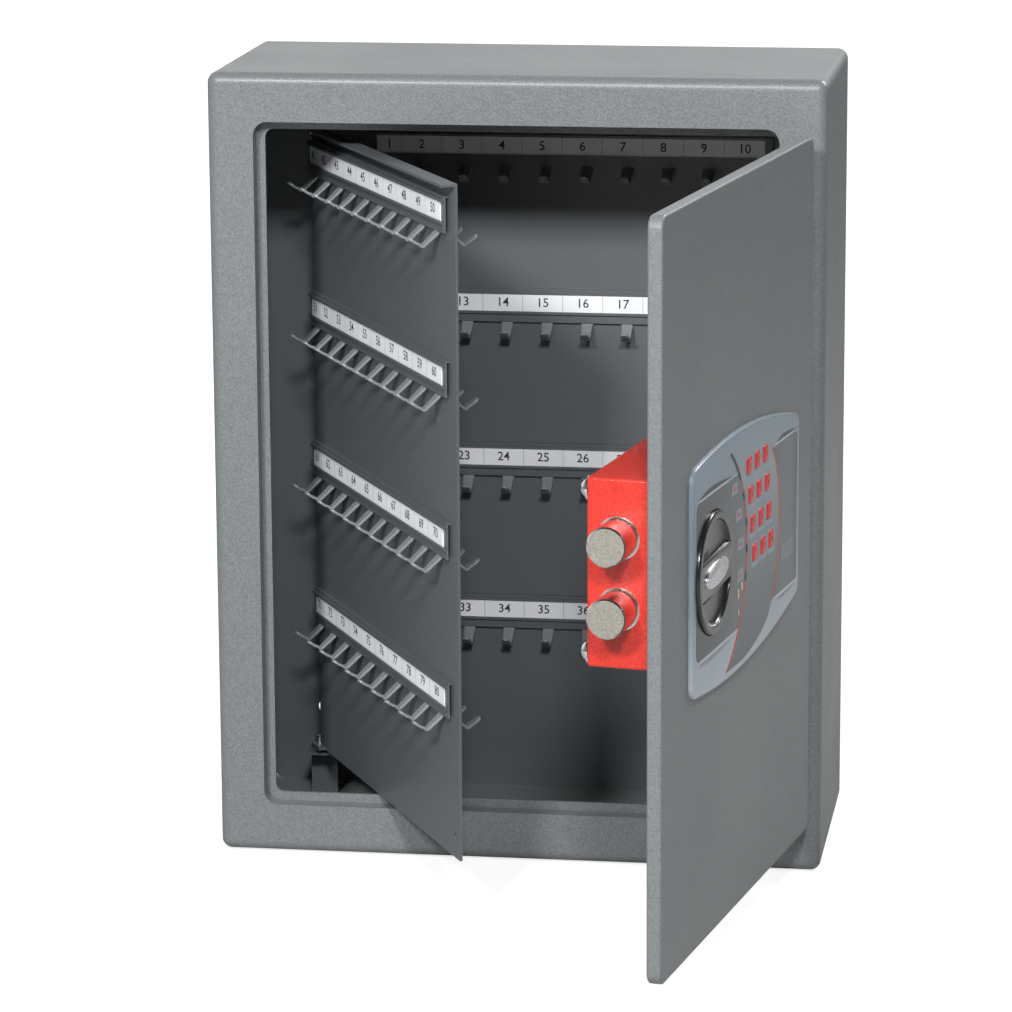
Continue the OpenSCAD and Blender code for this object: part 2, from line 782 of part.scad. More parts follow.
// outline with arched long sides and round corners, in X and Z
function fascia_outline(inset) =
    let (x0 = fascia_x0 + inset, x1 = fascia_x0 + fascia_w - inset, r = fascia_corner - inset,
         tilt0 = asin((fascia_arc_x - x0 - r) / fascia_arc_r),
         tilt1 = asin((x1 - r - fascia_arc_x) / fascia_arc_r),
         upper = concat(
            [for (a = [180 : -(90 - tilt0) / 6 : 90 + tilt0 - 0.1])
                [x0 + r + r * cos(a), fascia_half_at(x0 + r, inset) - r + r * sin(a)]],
            [for (i = [1 : 11]) let (x = x0 + r + (x1 - x0 - 2 * r) * i / 12)
                [x, fascia_half_at(x, inset)]],
            [for (a = [90 - tilt1 : -(90 - tilt1) / 6 : -0.1])
                [x1 - r + r * cos(a), fascia_half_at(x1 - r, inset) - r + r * sin(a)]]))
    concat([for (p = upper) [p[0], knob_z + p[1]]],
        [for (i = [len(upper) - 1 : -1 : 0]) [upper[i][0], knob_z - upper[i][1]]]);

function key_place(i) = let (col = i % 3, row = floor(i / 3))
    [key_x + col * key_pitch + row * key_lean, key_z - row * key_pitch];

module fascia() {
    color([0.55, 0.62, 0.68]) on_door() difference() {
        stand(fascia_y, front_y) polygon(fascia_outline(0));
        rod_y(knob_x, knob_z, well_d, fascia_y - eps, front_y + eps);
        for (i = [0 : 11]) translate([key_place(i)[0], 0, key_place(i)[1]])
            block([-key_size / 2 - key_fit, fascia_y - eps, -key_size / 2 - key_fit],
                [key_size / 2 + key_fit, front_y + eps, key_size / 2 + key_fit]);
    }
}

module button(i) {
    p = key_place(i);
    y0 = fascia_y - key_proud;
    y1 = front_y - key_travel - key_fit;
    color(red) on_door() block([p[0] - key_size / 2, y0, p[1] - key_size / 2],
        [p[0] + key_size / 2, y1, p[1] + key_size / 2]);
}

// a dial with two crescent finger wells either side of a tilted bar
module knob() {
    face_y = front_y - knob_front;
    color(black) on_door() translate([knob_x, 0, knob_z]) difference() {
        union() {
            rod_y(0, 0, knob_d, face_y + knob_chamfer, front_y - play);
            translate([0, face_y + knob_chamfer, 0]) rotate([90, 0, 0])
                cylinder(d1 = knob_d, d2 = knob_d - 2 * knob_chamfer, h = knob_chamfer);
        }
        stand(face_y - eps, face_y + well_deep) difference() {
            circle(knob_d / 2 - knob_wall);
            rotate(knob_tilt) square([knob_d, knob_bar], center = true);
        }
    }
}

module knob_badge() {
    y = front_y - knob_front;
    color("silver") on_door() translate([knob_x, 0, knob_z]) stand(y - badge_t, y) rotate(knob_tilt) {
        square([badge_len, badge_h], center = true);
        for (s = [-1, 1]) translate([s * badge_len / 2, 0]) circle(d = badge_h);
    }
}

// ---- assembly ----

body_shell();
back_plate();
rebate_frame();
for (i = [0 : rows - 1]) {
    back_rail(i);
    front_rail(i);
    rear_rail(i);
}
back_hooks();
back_labels();
panel_sheet();
panel_pins();
panel_brackets();
front_hooks();
front_labels();
rear_hooks();
rear_labels();
door_plate();
hinge_arms();
hinge_pins();
hinge_brackets();
lock_cover();
cover_studs();
cover_nuts();
bolt_guide();
bolt_bar();
lock_bolts();
fascia();
knob();
knob_badge();
knob_spindle();
drive_cam();
solenoid();
solenoid_pin();
circuit_board();
battery_tray();
batteries();
for (i = [0 : 11]) button(i);
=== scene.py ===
# %% [markdown]
# # A wall key cabinet, made round its working model
# The working model comes first: it holds the sheet-metal body, the plate door, the swing panel, the lock and
# every hinge. This lesson loads it, lights it, and gives each piece the finish that the real one has. Where a
# working piece is too plain to be seen close up, such as a hook, a key or the knob, a finer one takes its place.

# %% The working model
import json
import math

import bmesh
import bpy
from mathutils import Matrix, Vector


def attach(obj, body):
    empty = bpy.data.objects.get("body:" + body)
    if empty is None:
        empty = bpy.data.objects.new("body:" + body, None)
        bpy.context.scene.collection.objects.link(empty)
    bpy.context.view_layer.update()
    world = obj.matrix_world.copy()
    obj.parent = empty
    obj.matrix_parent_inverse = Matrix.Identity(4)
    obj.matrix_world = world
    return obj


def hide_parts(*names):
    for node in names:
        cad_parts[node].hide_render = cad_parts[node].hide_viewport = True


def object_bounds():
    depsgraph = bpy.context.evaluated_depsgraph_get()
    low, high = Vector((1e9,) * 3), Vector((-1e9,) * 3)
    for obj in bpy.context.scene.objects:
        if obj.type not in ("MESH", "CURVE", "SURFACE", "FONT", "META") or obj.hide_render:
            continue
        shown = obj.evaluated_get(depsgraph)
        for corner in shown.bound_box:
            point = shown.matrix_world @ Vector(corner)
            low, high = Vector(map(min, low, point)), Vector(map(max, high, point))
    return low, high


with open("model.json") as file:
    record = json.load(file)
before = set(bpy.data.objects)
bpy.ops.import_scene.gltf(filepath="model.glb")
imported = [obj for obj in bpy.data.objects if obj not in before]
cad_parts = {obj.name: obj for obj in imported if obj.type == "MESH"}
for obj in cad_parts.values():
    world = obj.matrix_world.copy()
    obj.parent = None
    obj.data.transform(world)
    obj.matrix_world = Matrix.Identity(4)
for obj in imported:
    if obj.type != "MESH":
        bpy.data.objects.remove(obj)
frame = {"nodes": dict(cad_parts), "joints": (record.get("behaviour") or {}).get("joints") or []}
NODES = frame["nodes"]
scene = bpy.context.scene
cad_box = [list(corner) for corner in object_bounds()]
mm = 0.001

# %% [markdown]
# ## The camera
# The cabinet is seen from a little to its right and from above, through a long lens, so that the door stands
# almost edge-on and the lines of the case stay nearly parallel. Distance does this without a shifted lens. The
# camera's turn is built from three plain angles, so that each can be read.

# %% Camera
camera = bpy.data.objects.new("camera", bpy.data.cameras.new("camera"))
camera.data.lens = 159.6
camera.data.clip_end = 50
scene.collection.objects.link(camera)
swing, tip, lean = math.radians(8.51), math.radians(-12.68), math.radians(-0.31)
camera.matrix_world = (Matrix.Translation((0.3625, -2.6099, 0.5422)) @ Matrix.Rotation(swing, 4, "Z")
                       @ Matrix.Rotation(math.pi / 2 + tip, 4, "X") @ Matrix.Rotation(lean, 4, "Z"))
scene.camera = camera
print("camera lens", camera.data.lens, "mm")

# %% [markdown]
# ## The floor
# The case stands on a sheet of paper that lies just under it. The paper is mid-grey, so it throws little light
# back under the door, and it glows for the camera only, more with distance. That fades the ground to white
# without another lamp, and leaves the shadows near the case.

# %% Floor
floor_z = cad_box[0][2] - 1 * mm
FLOOR_REACH = 6


def stage_floor():
    """A large pale sheet under the case."""
    mesh = bpy.data.meshes.new("floor")
    corners = [(FLOOR_REACH * x, FLOOR_REACH * y, floor_z) for x, y in ((-1, -1), (1, -1), (1, 1), (-1, 1))]
    mesh.from_pydata(corners, [], [(0, 1, 2, 3)])
    paper = bpy.data.materials.new("white_paper")
    paper.use_nodes = True
    tree = paper.node_tree
    shader = tree.nodes["Principled BSDF"]
    shader.inputs["Roughness"].default_value = 0.9
    fibre = tree.nodes.new("ShaderNodeTexNoise")
    fibre.inputs["Scale"].default_value = 300
    tone = tree.nodes.new("ShaderNodeMapRange")
    tone.inputs["To Min"].default_value = 0.44
    tone.inputs["To Max"].default_value = 0.48
    tree.links.new(fibre.outputs["Fac"], tone.inputs["Value"])
    tree.links.new(tone.outputs["Result"], shader.inputs["Base Color"])
    shader.inputs["Emission Color"].default_value = (1, 1, 1, 1)
    seen = tree.nodes.new("ShaderNodeLightPath")
    away = tree.nodes.new("ShaderNodeVectorMath")
    away.operation = "LENGTH"
    tree.links.new(tree.nodes.new("ShaderNodeNewGeometry").outputs["Position"], away.inputs[0])
    level = tree.nodes.new("ShaderNodeMapRange")
    level.inputs["From Min"].default_value = 0.55
    level.inputs["From Max"].default_value = 1.5
    level.inputs["To Min"].default_value = 0.76
    level.inputs["To Max"].default_value = 1.0
    tree.links.new(away.outputs["Value"], level.inputs["Value"])
    glow = tree.nodes.new("ShaderNodeMath")
    glow.operation = "MULTIPLY"
    tree.links.new(level.outputs["Result"], glow.inputs[1])
    tree.links.new(seen.outputs["Is Camera Ray"], glow.inputs[0])
    tree.links.new(glow.outputs[0], shader.inputs["Emission Strength"])
    mesh.materials.append(paper)
    sheet = bpy.data.objects.new("floor", mesh)
    scene.collection.objects.link(sheet)


stage_floor()
print("floor at", round(floor_z, 4), "m")

# %% [markdown]
# ## The lamps
# Two soft lamps hang high in front, one to the left and one to the right, so both sides of the recess get light
# and the shadows of the hooks stay short. They are small enough to keep those shadows crisp. A weaker rim lamp
# behind on the right picks out the rounded edges of the case.

# %% Lamps
middle = (0, -0.15, 0)


def lamp(name, size, power, place, target):
    """A soft square lamp that faces target."""
    light = bpy.data.lights.new(name, "AREA")
    light.size = size
    light.energy = power
    holder = bpy.data.objects.new(name, light)
    holder.location = place
    holder.rotation_euler = (Vector(target) - Vector(place)).to_track_quat("-Z", "Y").to_euler()
    scene.collection.objects.link(holder)


lamp("left_lamp", 0.35, 64, (-0.58, -2.65, 1.55), middle)
lamp("right_lamp", 0.35, 58, (0.48, -2.65, 1.6), middle)
lamp("rim_lamp", 0.5, 20, (1.0, 1.0, 1.2), middle)

# %% [markdown]
# ## The room
# The room fills the shade and is what polished pieces mirror. It is bright low down behind the case and dim
# elsewhere, and each direction fades over a wide band, so no edge shows in a reflection. The camera itself sees
# plain white, like a lit backdrop.

# %% Room


def room(behind, ahead):
    """A room that is bright low down behind the case and dim elsewhere."""
    world = bpy.data.worlds.new("room")
    world.use_nodes = True
    nodes, links = world.node_tree.nodes, world.node_tree.links
    axes = nodes.new("ShaderNodeSeparateXYZ")
    links.new(nodes.new("ShaderNodeTexCoord").outputs["Generated"], axes.inputs[0])
    level = nodes.new("ShaderNodeMapRange")
    level.inputs["From Min"].default_value = -0.2
    level.inputs["From Max"].default_value = 0.5
    level.inputs["To Min"].default_value = ahead
    level.inputs["To Max"].default_value = behind
    links.new(axes.outputs["Y"], level.inputs["Value"])
    result = level.outputs["Result"]
    for axis, start, end, least in (("Z", 0.35, 0.8, 0.3), ("X", 0.0, 0.35, 0.2)):
        fade = nodes.new("ShaderNodeMapRange")
        fade.inputs["From Min"].default_value = start
        fade.inputs["From Max"].default_value = end
        fade.inputs["To Min"].default_value = 1.0
        fade.inputs["To Max"].default_value = least
        links.new(axes.outputs[axis], fade.inputs["Value"])
        product = nodes.new("ShaderNodeMath")
        product.operation = "MULTIPLY"
        links.new(result, product.inputs[0])
        links.new(fade.outputs["Result"], product.inputs[1])
        result = product.outputs[0]
    backdrop = nodes.new("ShaderNodeMath")
    backdrop.operation = "MAXIMUM"
    links.new(result, backdrop.inputs[0])
    links.new(nodes.new("ShaderNodeLightPath").outputs["Is Camera Ray"], backdrop.inputs[1])
    links.new(backdrop.outputs[0], nodes["Background"].inputs["Strength"])
    nodes["Background"].inputs["Color"].default_value = (1, 1, 1, 1)
    scene.world = world


room(0.95, 0.16)
scene.view_settings.view_transform = "Standard"

# %% [markdown]
# ## A small workshop for finishes
# Every finish here is painted by nodes. Each material starts as a plain glossy surface, and short helpers wire a
# texture into its colour, its roughness or its height. The texture is placed by the object's own coordinates, so
# it stays on the metal when the door swings.

# %% Finish helpers


def new_finish(name, roughness, metallic=0.0):
    """A material with one shader. Returns it, its shader and its nodes."""
    finish = bpy.data.materials.new(name)
    finish.use_nodes = True
    shader = finish.node_tree.nodes["Principled BSDF"]
    shader.inputs["Roughness"].default_value = roughness
    shader.inputs["Metallic"].default_value = metallic
    return finish, shader, finish.node_tree


def own_place(tree):
    """The object's own coordinates, in metres."""
    return tree.nodes.new("ShaderNodeTexCoord").outputs["Object"]


def grain(tree, scale, detail=2.0, rough=0.5, where=None):
    """A cloudy texture with about scale lumps in a metre."""
    noise = tree.nodes.new("ShaderNodeTexNoise")
    noise.inputs["Scale"].default_value = scale
    noise.inputs["Detail"].default_value = detail
    noise.inputs["Roughness"].default_value = rough
    tree.links.new(where or own_place(tree), noise.inputs["Vector"])
    return noise.outputs["Fac"]


def ramp(tree, value, stops):
    """Turns a value into colours, from a list of (position, colour)."""
    node = tree.nodes.new("ShaderNodeValToRGB")
    while len(node.color_ramp.elements) < len(stops):
        node.color_ramp.elements.new(0.5)
    for element, (position, colour) in zip(node.color_ramp.elements, stops):
        element.position = position
        element.color = (*colour, 1)
    tree.links.new(value, node.inputs["Fac"])
    return node.outputs["Color"]


def spread(tree, value, low, high):
    """Maps a cloudy texture's middle range to low..high."""
    node = tree.nodes.new("ShaderNodeMapRange")
    node.inputs["From Min"].default_value = 0.3
    node.inputs["From Max"].default_value = 0.7
    node.inputs["To Min"].default_value = low
    node.inputs["To Max"].default_value = high
    tree.links.new(value, node.inputs["Value"])
    return node.outputs["Result"]


def bump(tree, shader, height, depth, strength=1.0, under=None):
    """Raises the surface by height times depth, in metres."""
    node = tree.nodes.new("ShaderNodeBump")
    node.inputs["Strength"].default_value = strength
    node.inputs["Distance"].default_value = depth
    tree.links.new(height, node.inputs["Height"])
    if under:
        tree.links.new(under, node.inputs["Normal"])
    tree.links.new(node.outputs["Normal"], shader.inputs["Normal"])
    return node.outputs["Normal"]


def dress(finish, *names):
    """Puts a finish on working nodes."""
    for name in names:
        slots = NODES[name].data.materials
        slots.clear()
        slots.append(finish)
    print(finish.name, "on", len(names), "nodes")


# %% [markdown]
# ## Paint for the case, the door and the panel
# The case and the door have a textured powder coat: a grey with fine light and dark specks, over small bumps that
# break up every highlight. Two sizes of bump are mixed, one for the lumps that can be felt and one for the fine
# grit. The panel and the back plate have the same grey in a smoother, darker coat, and the hooks a lighter and
# glossier one. The red cover has a hammered coat, which is the same idea with larger, softer dents and more gloss.

# %% Paint


def coat(name, dark, light, roughness, lump, depth, gloss):
    """A sprayed coat: speckled colour, uneven gloss and two sizes of bump."""
    finish, shader, tree = new_finish(name, roughness)
    speck = grain(tree, lump * 1.7, 3)
    tree.links.new(ramp(tree, speck, [(0.32, dark), (0.68, light)]), shader.inputs["Base Color"])
    cloud = grain(tree, 9, 3)
    tree.links.new(spread(tree, cloud, roughness - 0.05, roughness + 0.06), shader.inputs["Roughness"])
    shader.inputs["Coat Weight"].default_value = gloss
    shader.inputs["Coat Roughness"].default_value = 0.25
    lumps = bump(tree, shader, grain(tree, lump, 2), depth)
    bump(tree, shader, grain(tree, lump * 4, 2), depth * 0.25, under=lumps)
    return finish


case_grey = coat("case_grey", (0.130, 0.142, 0.146), (0.205, 0.222, 0.228), 0.42, 700, 0.00022, 0.15)
inner_grey = coat("inner_grey", (0.082, 0.092, 0.100), (0.112, 0.124, 0.134), 0.40, 900, 0.00008, 0.10)
hook_grey = coat("hook_grey", (0.185, 0.200, 0.205), (0.250, 0.270, 0.276), 0.33, 900, 0.00005, 0.30)
cover_red = coat("cover_red", (0.52, 0.020, 0.012), (0.70, 0.038, 0.020), 0.36, 420, 0.00025, 0.2)
dress(case_grey, "body_shell", "rebate_frame", "door_plate")
dress(inner_grey, "back_plate", "panel_sheet", "panel_brackets", "hinge_arms", "hinge_brackets",
      *[f"{side}_rail_{row}" for side in ("back", "front", "rear") for row in range(1, 5)])

# %% [markdown]
# ## Bare and plated metal
# Zinc plate is a bright metal with faint cloudy patches. The bolts were turned on a lathe: their round sides are
# polished enough to mirror the red cover, while their end faces keep a grainy, slightly yellow look. The face and
# the side are told apart by the way the surface points in the object's own space. The nuts are chrome.

# %% Metals
door_angle = math.radians(80)
towards_edge = Vector((-math.cos(door_angle), -math.sin(door_angle), 0))


def plate(name, tone, roughness, patch):
    """A plated metal with cloudy patches in its gloss."""
    finish, shader, tree = new_finish(name, roughness, 1.0)
    clouds = grain(tree, patch, 4)
    low = tuple(0.88 * part for part in tone)
    tree.links.new(ramp(tree, clouds, [(0.3, low), (0.7, tone)]), shader.inputs["Base Color"])
    tree.links.new(spread(tree, clouds, roughness - 0.05, roughness + 0.08), shader.inputs["Roughness"])
    bump(tree, shader, grain(tree, patch * 12, 2), 0.00002)
    return finish


zinc = plate("zinc", (0.72, 0.72, 0.70), 0.26, 60)
chrome = plate("chrome", (0.86, 0.88, 0.90), 0.07, 40)
dress(zinc, "panel_pins", "hinge_pins", "cover_studs", "bolt_guide", "bolt_bar", "knob_spindle",
      "drive_cam", "solenoid_pin")
dress(chrome, "cover_nuts")


def turned_steel():
    """Polished side, grainy end face."""
    finish, shader, tree = new_finish("turned_steel", 0.2, 1.0)
    normal = tree.nodes.new("ShaderNodeTexCoord").outputs["Normal"]
    facing = tree.nodes.new("ShaderNodeVectorMath")
    facing.operation = "DOT_PRODUCT"
    tree.links.new(normal, facing.inputs[0])
    facing.inputs[1].default_value = towards_edge
    on_face = tree.nodes.new("ShaderNodeMath")
    on_face.operation = "GREATER_THAN"
    on_face.inputs[1].default_value = 0.97
    tree.links.new(facing.outputs["Value"], on_face.inputs[0])
    speck = grain(tree, 900, 4, 0.7)
    rough_tone = ramp(tree, speck, [(0.30, (0.36, 0.34, 0.30)), (0.52, (0.48, 0.46, 0.41)),
                                    (0.70, (0.62, 0.60, 0.54))])
    tone = tree.nodes.new("ShaderNodeMix")
    tone.data_type = "RGBA"
    tone.inputs["A"].default_value = (0.80, 0.79, 0.76, 1)
    tree.links.new(rough_tone, tone.inputs["B"])
    tree.links.new(on_face.outputs[0], tone.inputs["Factor"])
    tree.links.new(tone.outputs["Result"], shader.inputs["Base Color"])
    gloss = tree.nodes.new("ShaderNodeMapRange")
    gloss.inputs["To Min"].default_value = 0.14
    gloss.inputs["To Max"].default_value = 0.48
    tree.links.new(on_face.outputs[0], gloss.inputs["Value"])
    tree.links.new(gloss.outputs["Result"], shader.inputs["Roughness"])
    bump(tree, shader, grain(tree, 1200, 3), 0.00004)
    return finish


dress(turned_steel(), "lock_bolts")

# %% [markdown]
# ## Plastics, card and the parts inside the lock
# Moulded plastic is never one flat tone: a slow cloud moves its gloss, and a very fine bump stops it looking like
# glass. Number cards are white paper with a trace of fibre. The parts inside the lock cover are out of sight
# until it comes off, and they get the finish of the real thing too.

# %% Plastics and card


def moulded(name, tone, roughness, texture=1400, depth=0.00003, coat_weight=0.0):
    """Moulded plastic with a cloud in its gloss and a fine moulded texture."""
    finish, shader, tree = new_finish(name, roughness)
    cloud = grain(tree, 25, 3)
    low = tuple(0.9 * part for part in tone)
    tree.links.new(ramp(tree, cloud, [(0.3, low), (0.7, tone)]), shader.inputs["Base Color"])
    tree.links.new(spread(tree, cloud, roughness - 0.03, roughness + 0.05), shader.inputs["Roughness"])
    shader.inputs["Coat Weight"].default_value = coat_weight
    bump(tree, shader, grain(tree, texture, 2), depth)
    return finish


card = moulded("card", (0.88, 0.90, 0.93), 0.45, 500, 0.00003)
ink = moulded("ink", (0.035, 0.035, 0.04), 0.6)
divider_ink = moulded("divider_ink", (0.36, 0.38, 0.40), 0.6)
black_plastic = moulded("black_plastic", (0.016, 0.017, 0.019), 0.24, coat_weight=0.3)
can_black = moulded("can_black", (0.03, 0.03, 0.035), 0.35)
board_green = moulded("board_green", (0.02, 0.12, 0.05), 0.3, 300)
cell_blue = moulded("cell_blue", (0.05, 0.12, 0.30), 0.3)
dress(card, "back_labels", "front_labels", "rear_labels")
dress(can_black, "solenoid")
dress(board_green, "circuit_board")
dress(black_plastic, "battery_tray")
dress(cell_blue, "batteries")

# %% [markdown]
# ## A workbench for finer pieces
# New pieces are built flat, as if on a bench, and then set in place. Pieces of the door are drawn with the door
# shut and swung open about the hinge pin, and pieces of the panel are drawn along +X from its pivot. Both places
# are read from the record's joints, so they can't drift from the working model.

# %% Bench helpers
JOINTS = {joint["name"]: joint for joint in frame["joints"]}


def turned_about(point, angle):
    """A turn about an upright line through point."""
    place = Matrix.Translation((point[0], point[1], 0))
    return place @ Matrix.Rotation(angle, 4, "Z") @ place.inverted()


door_turn = turned_about(JOINTS["door_hinge"]["pos_m"], door_angle)
pivot = JOINTS["panel_swing"]["pos_m"]
panel_angle_out = math.radians(-61.5)
panel_turn = Matrix.Translation((pivot[0], pivot[1], 0)) @ Matrix.Rotation(panel_angle_out, 4, "Z")
front_y = -150 * mm


def make(name, shape, finish, body, place=Matrix.Identity(4), stands_for=(), smooth=True):
    """Turns a bmesh into a piece that rides on a body."""
    shape.transform(place)
    bmesh.ops.recalc_face_normals(shape, faces=shape.faces)
    mesh = bpy.data.meshes.new(name)
    shape.to_mesh(mesh)
    shape.free()
    piece = bpy.data.objects.new(name, mesh)
    scene.collection.objects.link(piece)
    finishes = finish if isinstance(finish, (list, tuple)) else [finish]
    for one in finishes:
        mesh.materials.append(one)
    if smooth:
        mesh.shade_smooth()
        mesh.set_sharp_from_angle(angle=math.radians(35))
    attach(piece, body)
    if stands_for:
        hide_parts(*stands_for)
    print(name, "has", len(mesh.polygons), "faces")
    return piece


def ring_of(shape, points):
    """New vertices at these points."""
    return [shape.verts.new(point) for point in points]


def bridge(shape, lower, upper):
    """Faces between two closed rings of the same length."""
    count = len(lower)
    for i in range(count):
        j = (i + 1) % count
        shape.faces.new((lower[i], lower[j], upper[j], upper[i]))


def grown(outline, by):
    """A closed outline in X and Z, moved outwards by a distance along its own normals."""
    result = []
    count = len(outline)
    for i, (x, z) in enumerate(outline):
        px, pz = outline[i - 1]
        nx, nz = outline[(i + 1) % count]
        run, rise = nx - px, nz - pz
        length = math.hypot(run, rise) or 1
        result.append((x + by * rise / length, z - by * run / length))
    return result


def turning(outline):
    """1 when the outline runs so that its right side is outside, else -1."""
    area = sum(a[0] * b[1] - b[0] * a[1] for a, b in zip(outline, outline[1:] + outline[:1]))
    return 1 if area > 0 else -1


def slab(shape, outline, back, front, edge, steps=3):
    """A plate of this outline from back to front in Y, whose front edge is rounded by edge."""
    way = turning(outline)
    lower = ring_of(shape, [(x, back, z) for x, z in outline])
    shape.faces.new(lower)
    rings = [lower]
    for i in range(steps + 1):
        a = math.pi / 2 * i / steps
        inset = grown(outline, -way * edge * (1 - math.cos(a)))
        y = front + edge * (1 - math.sin(a))
        rings.append(ring_of(shape, [(x, y, z) for x, z in inset]))
    for a, b in zip(rings, rings[1:]):
        bridge(shape, a, b)
    shape.faces.new(rings[-1])


def rounded(x0, x1, z0, z1, r, steps=5):
    """A rectangle with round corners, as points in X and Z."""
    points = []
    left, right, bottom, top = x0 + r, x1 - r, z0 + r, z1 - r
    for cx, cz, start in ((right, top, 0), (left, top, 90), (left, bottom, 180), (right, bottom, 270)):
        for i in range(steps + 1):
            a = math.radians(start + 90 * i / steps)
            points.append((cx + r * math.cos(a), cz + r * math.sin(a)))
    return points


print("door axis", [round(v, 4) for v in JOINTS["door_hinge"]["pos_m"]])

# %% [markdown]
# ## The key hooks
# Each hook is one stamped steel strap: it runs down behind the rail, turns out from the sheet, narrows, and turns
# up again to a round tip. A strap like this is a sweep. The bend is a smooth curve through a few stations, each
# with its own width, and the tip is closed by a half circle. One hook is made as points, and a loop sets forty of
# them on each face.

# %% Hooks
HOOK_PITCH = 24 * mm
FIRST_HOOK = 10 * mm
ROW_LENGTH = 240 * mm
STRAP = 1.5 * mm


def hook_stations():
    """(out, up, half width) down the strap, with round bends."""
    stations = [(-0.75, -6, 3.5), (-0.75, -14, 3.5), (-0.80, -17.2, 3.5),
                (-1.3, -18.6, 3.45), (-2.3, -19.6, 3.4)]
    low_out, low_up, bend = -11, -26.2, 1.7
    for degree in range(-42, 76, 13):
        a = math.radians(degree)
        stations.append((low_out + 0.5 - bend * math.sin(a), low_up + bend * (1 - math.cos(a)), 2.75))
    stations += [(-14.3, -24.1, 2.65), (-16.2, -22.75, 2.55)]
    for degree in (0, 30, 55, 72, 84):
        a = math.radians(degree)
        stations.append((-16.5 - 1.8 * math.sin(a), -22.5 + 1.3 * math.sin(a), max(2.5 * math.cos(a), 0.3)))
    return [(out * mm, up * mm, half * mm) for out, up, half in stations]


def add_hook(shape, place):
    """One strap, swept through its stations, with softened edges."""
    stations = hook_stations()
    previous = None
    for i, (out, up, half) in enumerate(stations):
        before = stations[max(i - 1, 0)]
        after = stations[min(i + 1, len(stations) - 1)]
        run, rise = after[0] - before[0], after[1] - before[1]
        length = math.hypot(run, rise)
        side = (rise / length, -run / length)
        soft = min(0.35 * mm, half * 0.6)
        half_t = STRAP / 2
        flat, flank = half - soft, half_t - soft
        section = [(half, -flank), (half, flank), (flat, half_t), (-flat, half_t),
                   (-half, flank), (-half, -flank), (-flat, -half_t), (flat, -half_t)]
        ring = ring_of(shape, [place @ Vector((w, out + side[0] * t, up + side[1] * t)) for w, t in section])
        if previous:
            bridge(shape, previous, ring)
        else:
            shape.faces.new(ring)
        previous = ring
    shape.faces.new(previous)


back_row = {"x": -108 * mm, "y": -2 * mm, "top": 174 * mm, "pitch": 94 * mm}
panel_row = {"x": 5 * mm, "y": -0.75 * mm, "top": 174 * mm, "pitch": 90 * mm}
half_turn = Matrix.Rotation(math.pi, 4, "Z")
panel_back_side = Matrix.Translation((2 * panel_row["x"] + ROW_LENGTH, 0, 0)) @ half_turn
FACES = {
    "back": ("cabinet", back_row, Matrix.Identity(4), 0),
    "front": ("panel", panel_row, panel_turn, 40),
    "rear": ("panel", panel_row, panel_turn @ panel_back_side, 80),
}


def row_place(row, i):
    """Where row i starts: the left end of its rail, at the top of its card."""
    return Matrix.Translation((row["x"], row["y"], row["top"] - i * row["pitch"]))


for face, (body, row, turn, first) in FACES.items():
    shape = bmesh.new()
    for i in range(4):
        for j in range(10):
            along = Matrix.Translation((FIRST_HOOK + j * HOOK_PITCH, 0, 0))
            add_hook(shape, row_place(row, i) @ along)
    make(f"{face}_strap_hooks", shape, hook_grey, body, turn, (f"{face}_hooks",))

# %% [markdown]
# ## The number cards
# Each row has a printed card with ten cells. The numerals are real letter shapes, made by a text object and
# turned into a mesh, so they stay sharp at any size. Thin grey lines divide the cells. Text and lines lie a
# twentieth of a millimetre proud of the card, which is less than a coat of ink would show.

# %% Numbers
CELL_END = 4.5 * mm
FIRST_CELL = 15 * mm
CARD_HEIGHT = 12 * mm
CARD_FACE = -3.15 * mm
INK_PROUD = 0.06 * mm
DIGIT_HEIGHT = 7.6 * mm
LINE_WIDTH = 0.3 * mm
LINE_MARGIN = 0.9 * mm


def numeral(text, height):
    """A flat mesh of some digits, centred on the origin, facing -Y."""
    curve = bpy.data.curves.new("digits", "FONT")
    curve.body = text
    curve.size = height
    curve.align_x = "CENTER"
    curve.align_y = "CENTER"
    curve.resolution_u = 3
    curve.offset = height * 0.008
    holder = bpy.data.objects.new("digits", curve)
    scene.collection.objects.link(holder)
    flat = bpy.data.meshes.new_from_object(holder.evaluated_get(bpy.context.evaluated_depsgraph_get()))
    flat.transform(Matrix.Rotation(math.pi / 2, 4, "X"))
    bpy.data.objects.remove(holder)
    bpy.data.curves.remove(curve)
    return flat


def cell_middle(j):
    """Middle of cell j, from the rail's left end."""
    if j == 0:
        return CELL_END + FIRST_CELL / 2
    return CELL_END + FIRST_CELL + (j - 0.5) * HOOK_PITCH


def add_line(shape, x, width, z0, z1, y):
    """An upright printed line."""
    corners = [(x - width / 2, y, z0), (x + width / 2, y, z0), (x + width / 2, y, z1), (x - width / 2, y, z1)]
    return shape.faces.new(ring_of(shape, corners))


for face, (body, row, turn, first) in FACES.items():
    for i in range(4):
        shape = bmesh.new()
        for j in range(10):
            flat = numeral(str(first + 10 * i + j + 1), DIGIT_HEIGHT)
            flat.transform(Matrix.Translation((cell_middle(j), CARD_FACE - INK_PROUD, -CARD_HEIGHT / 2)))
            shape.from_mesh(flat)
            bpy.data.meshes.remove(flat)
        for j in range(9):
            x = CELL_END + FIRST_CELL + j * HOOK_PITCH
            line = add_line(shape, x, LINE_WIDTH, -CARD_HEIGHT + LINE_MARGIN, -LINE_MARGIN,
                            CARD_FACE - INK_PROUD / 2)
            line.material_index = 1
        make(f"{face}_numbers_{i + 1}", shape, [ink, divider_ink], body,
             turn @ row_place(row, i), smooth=False)

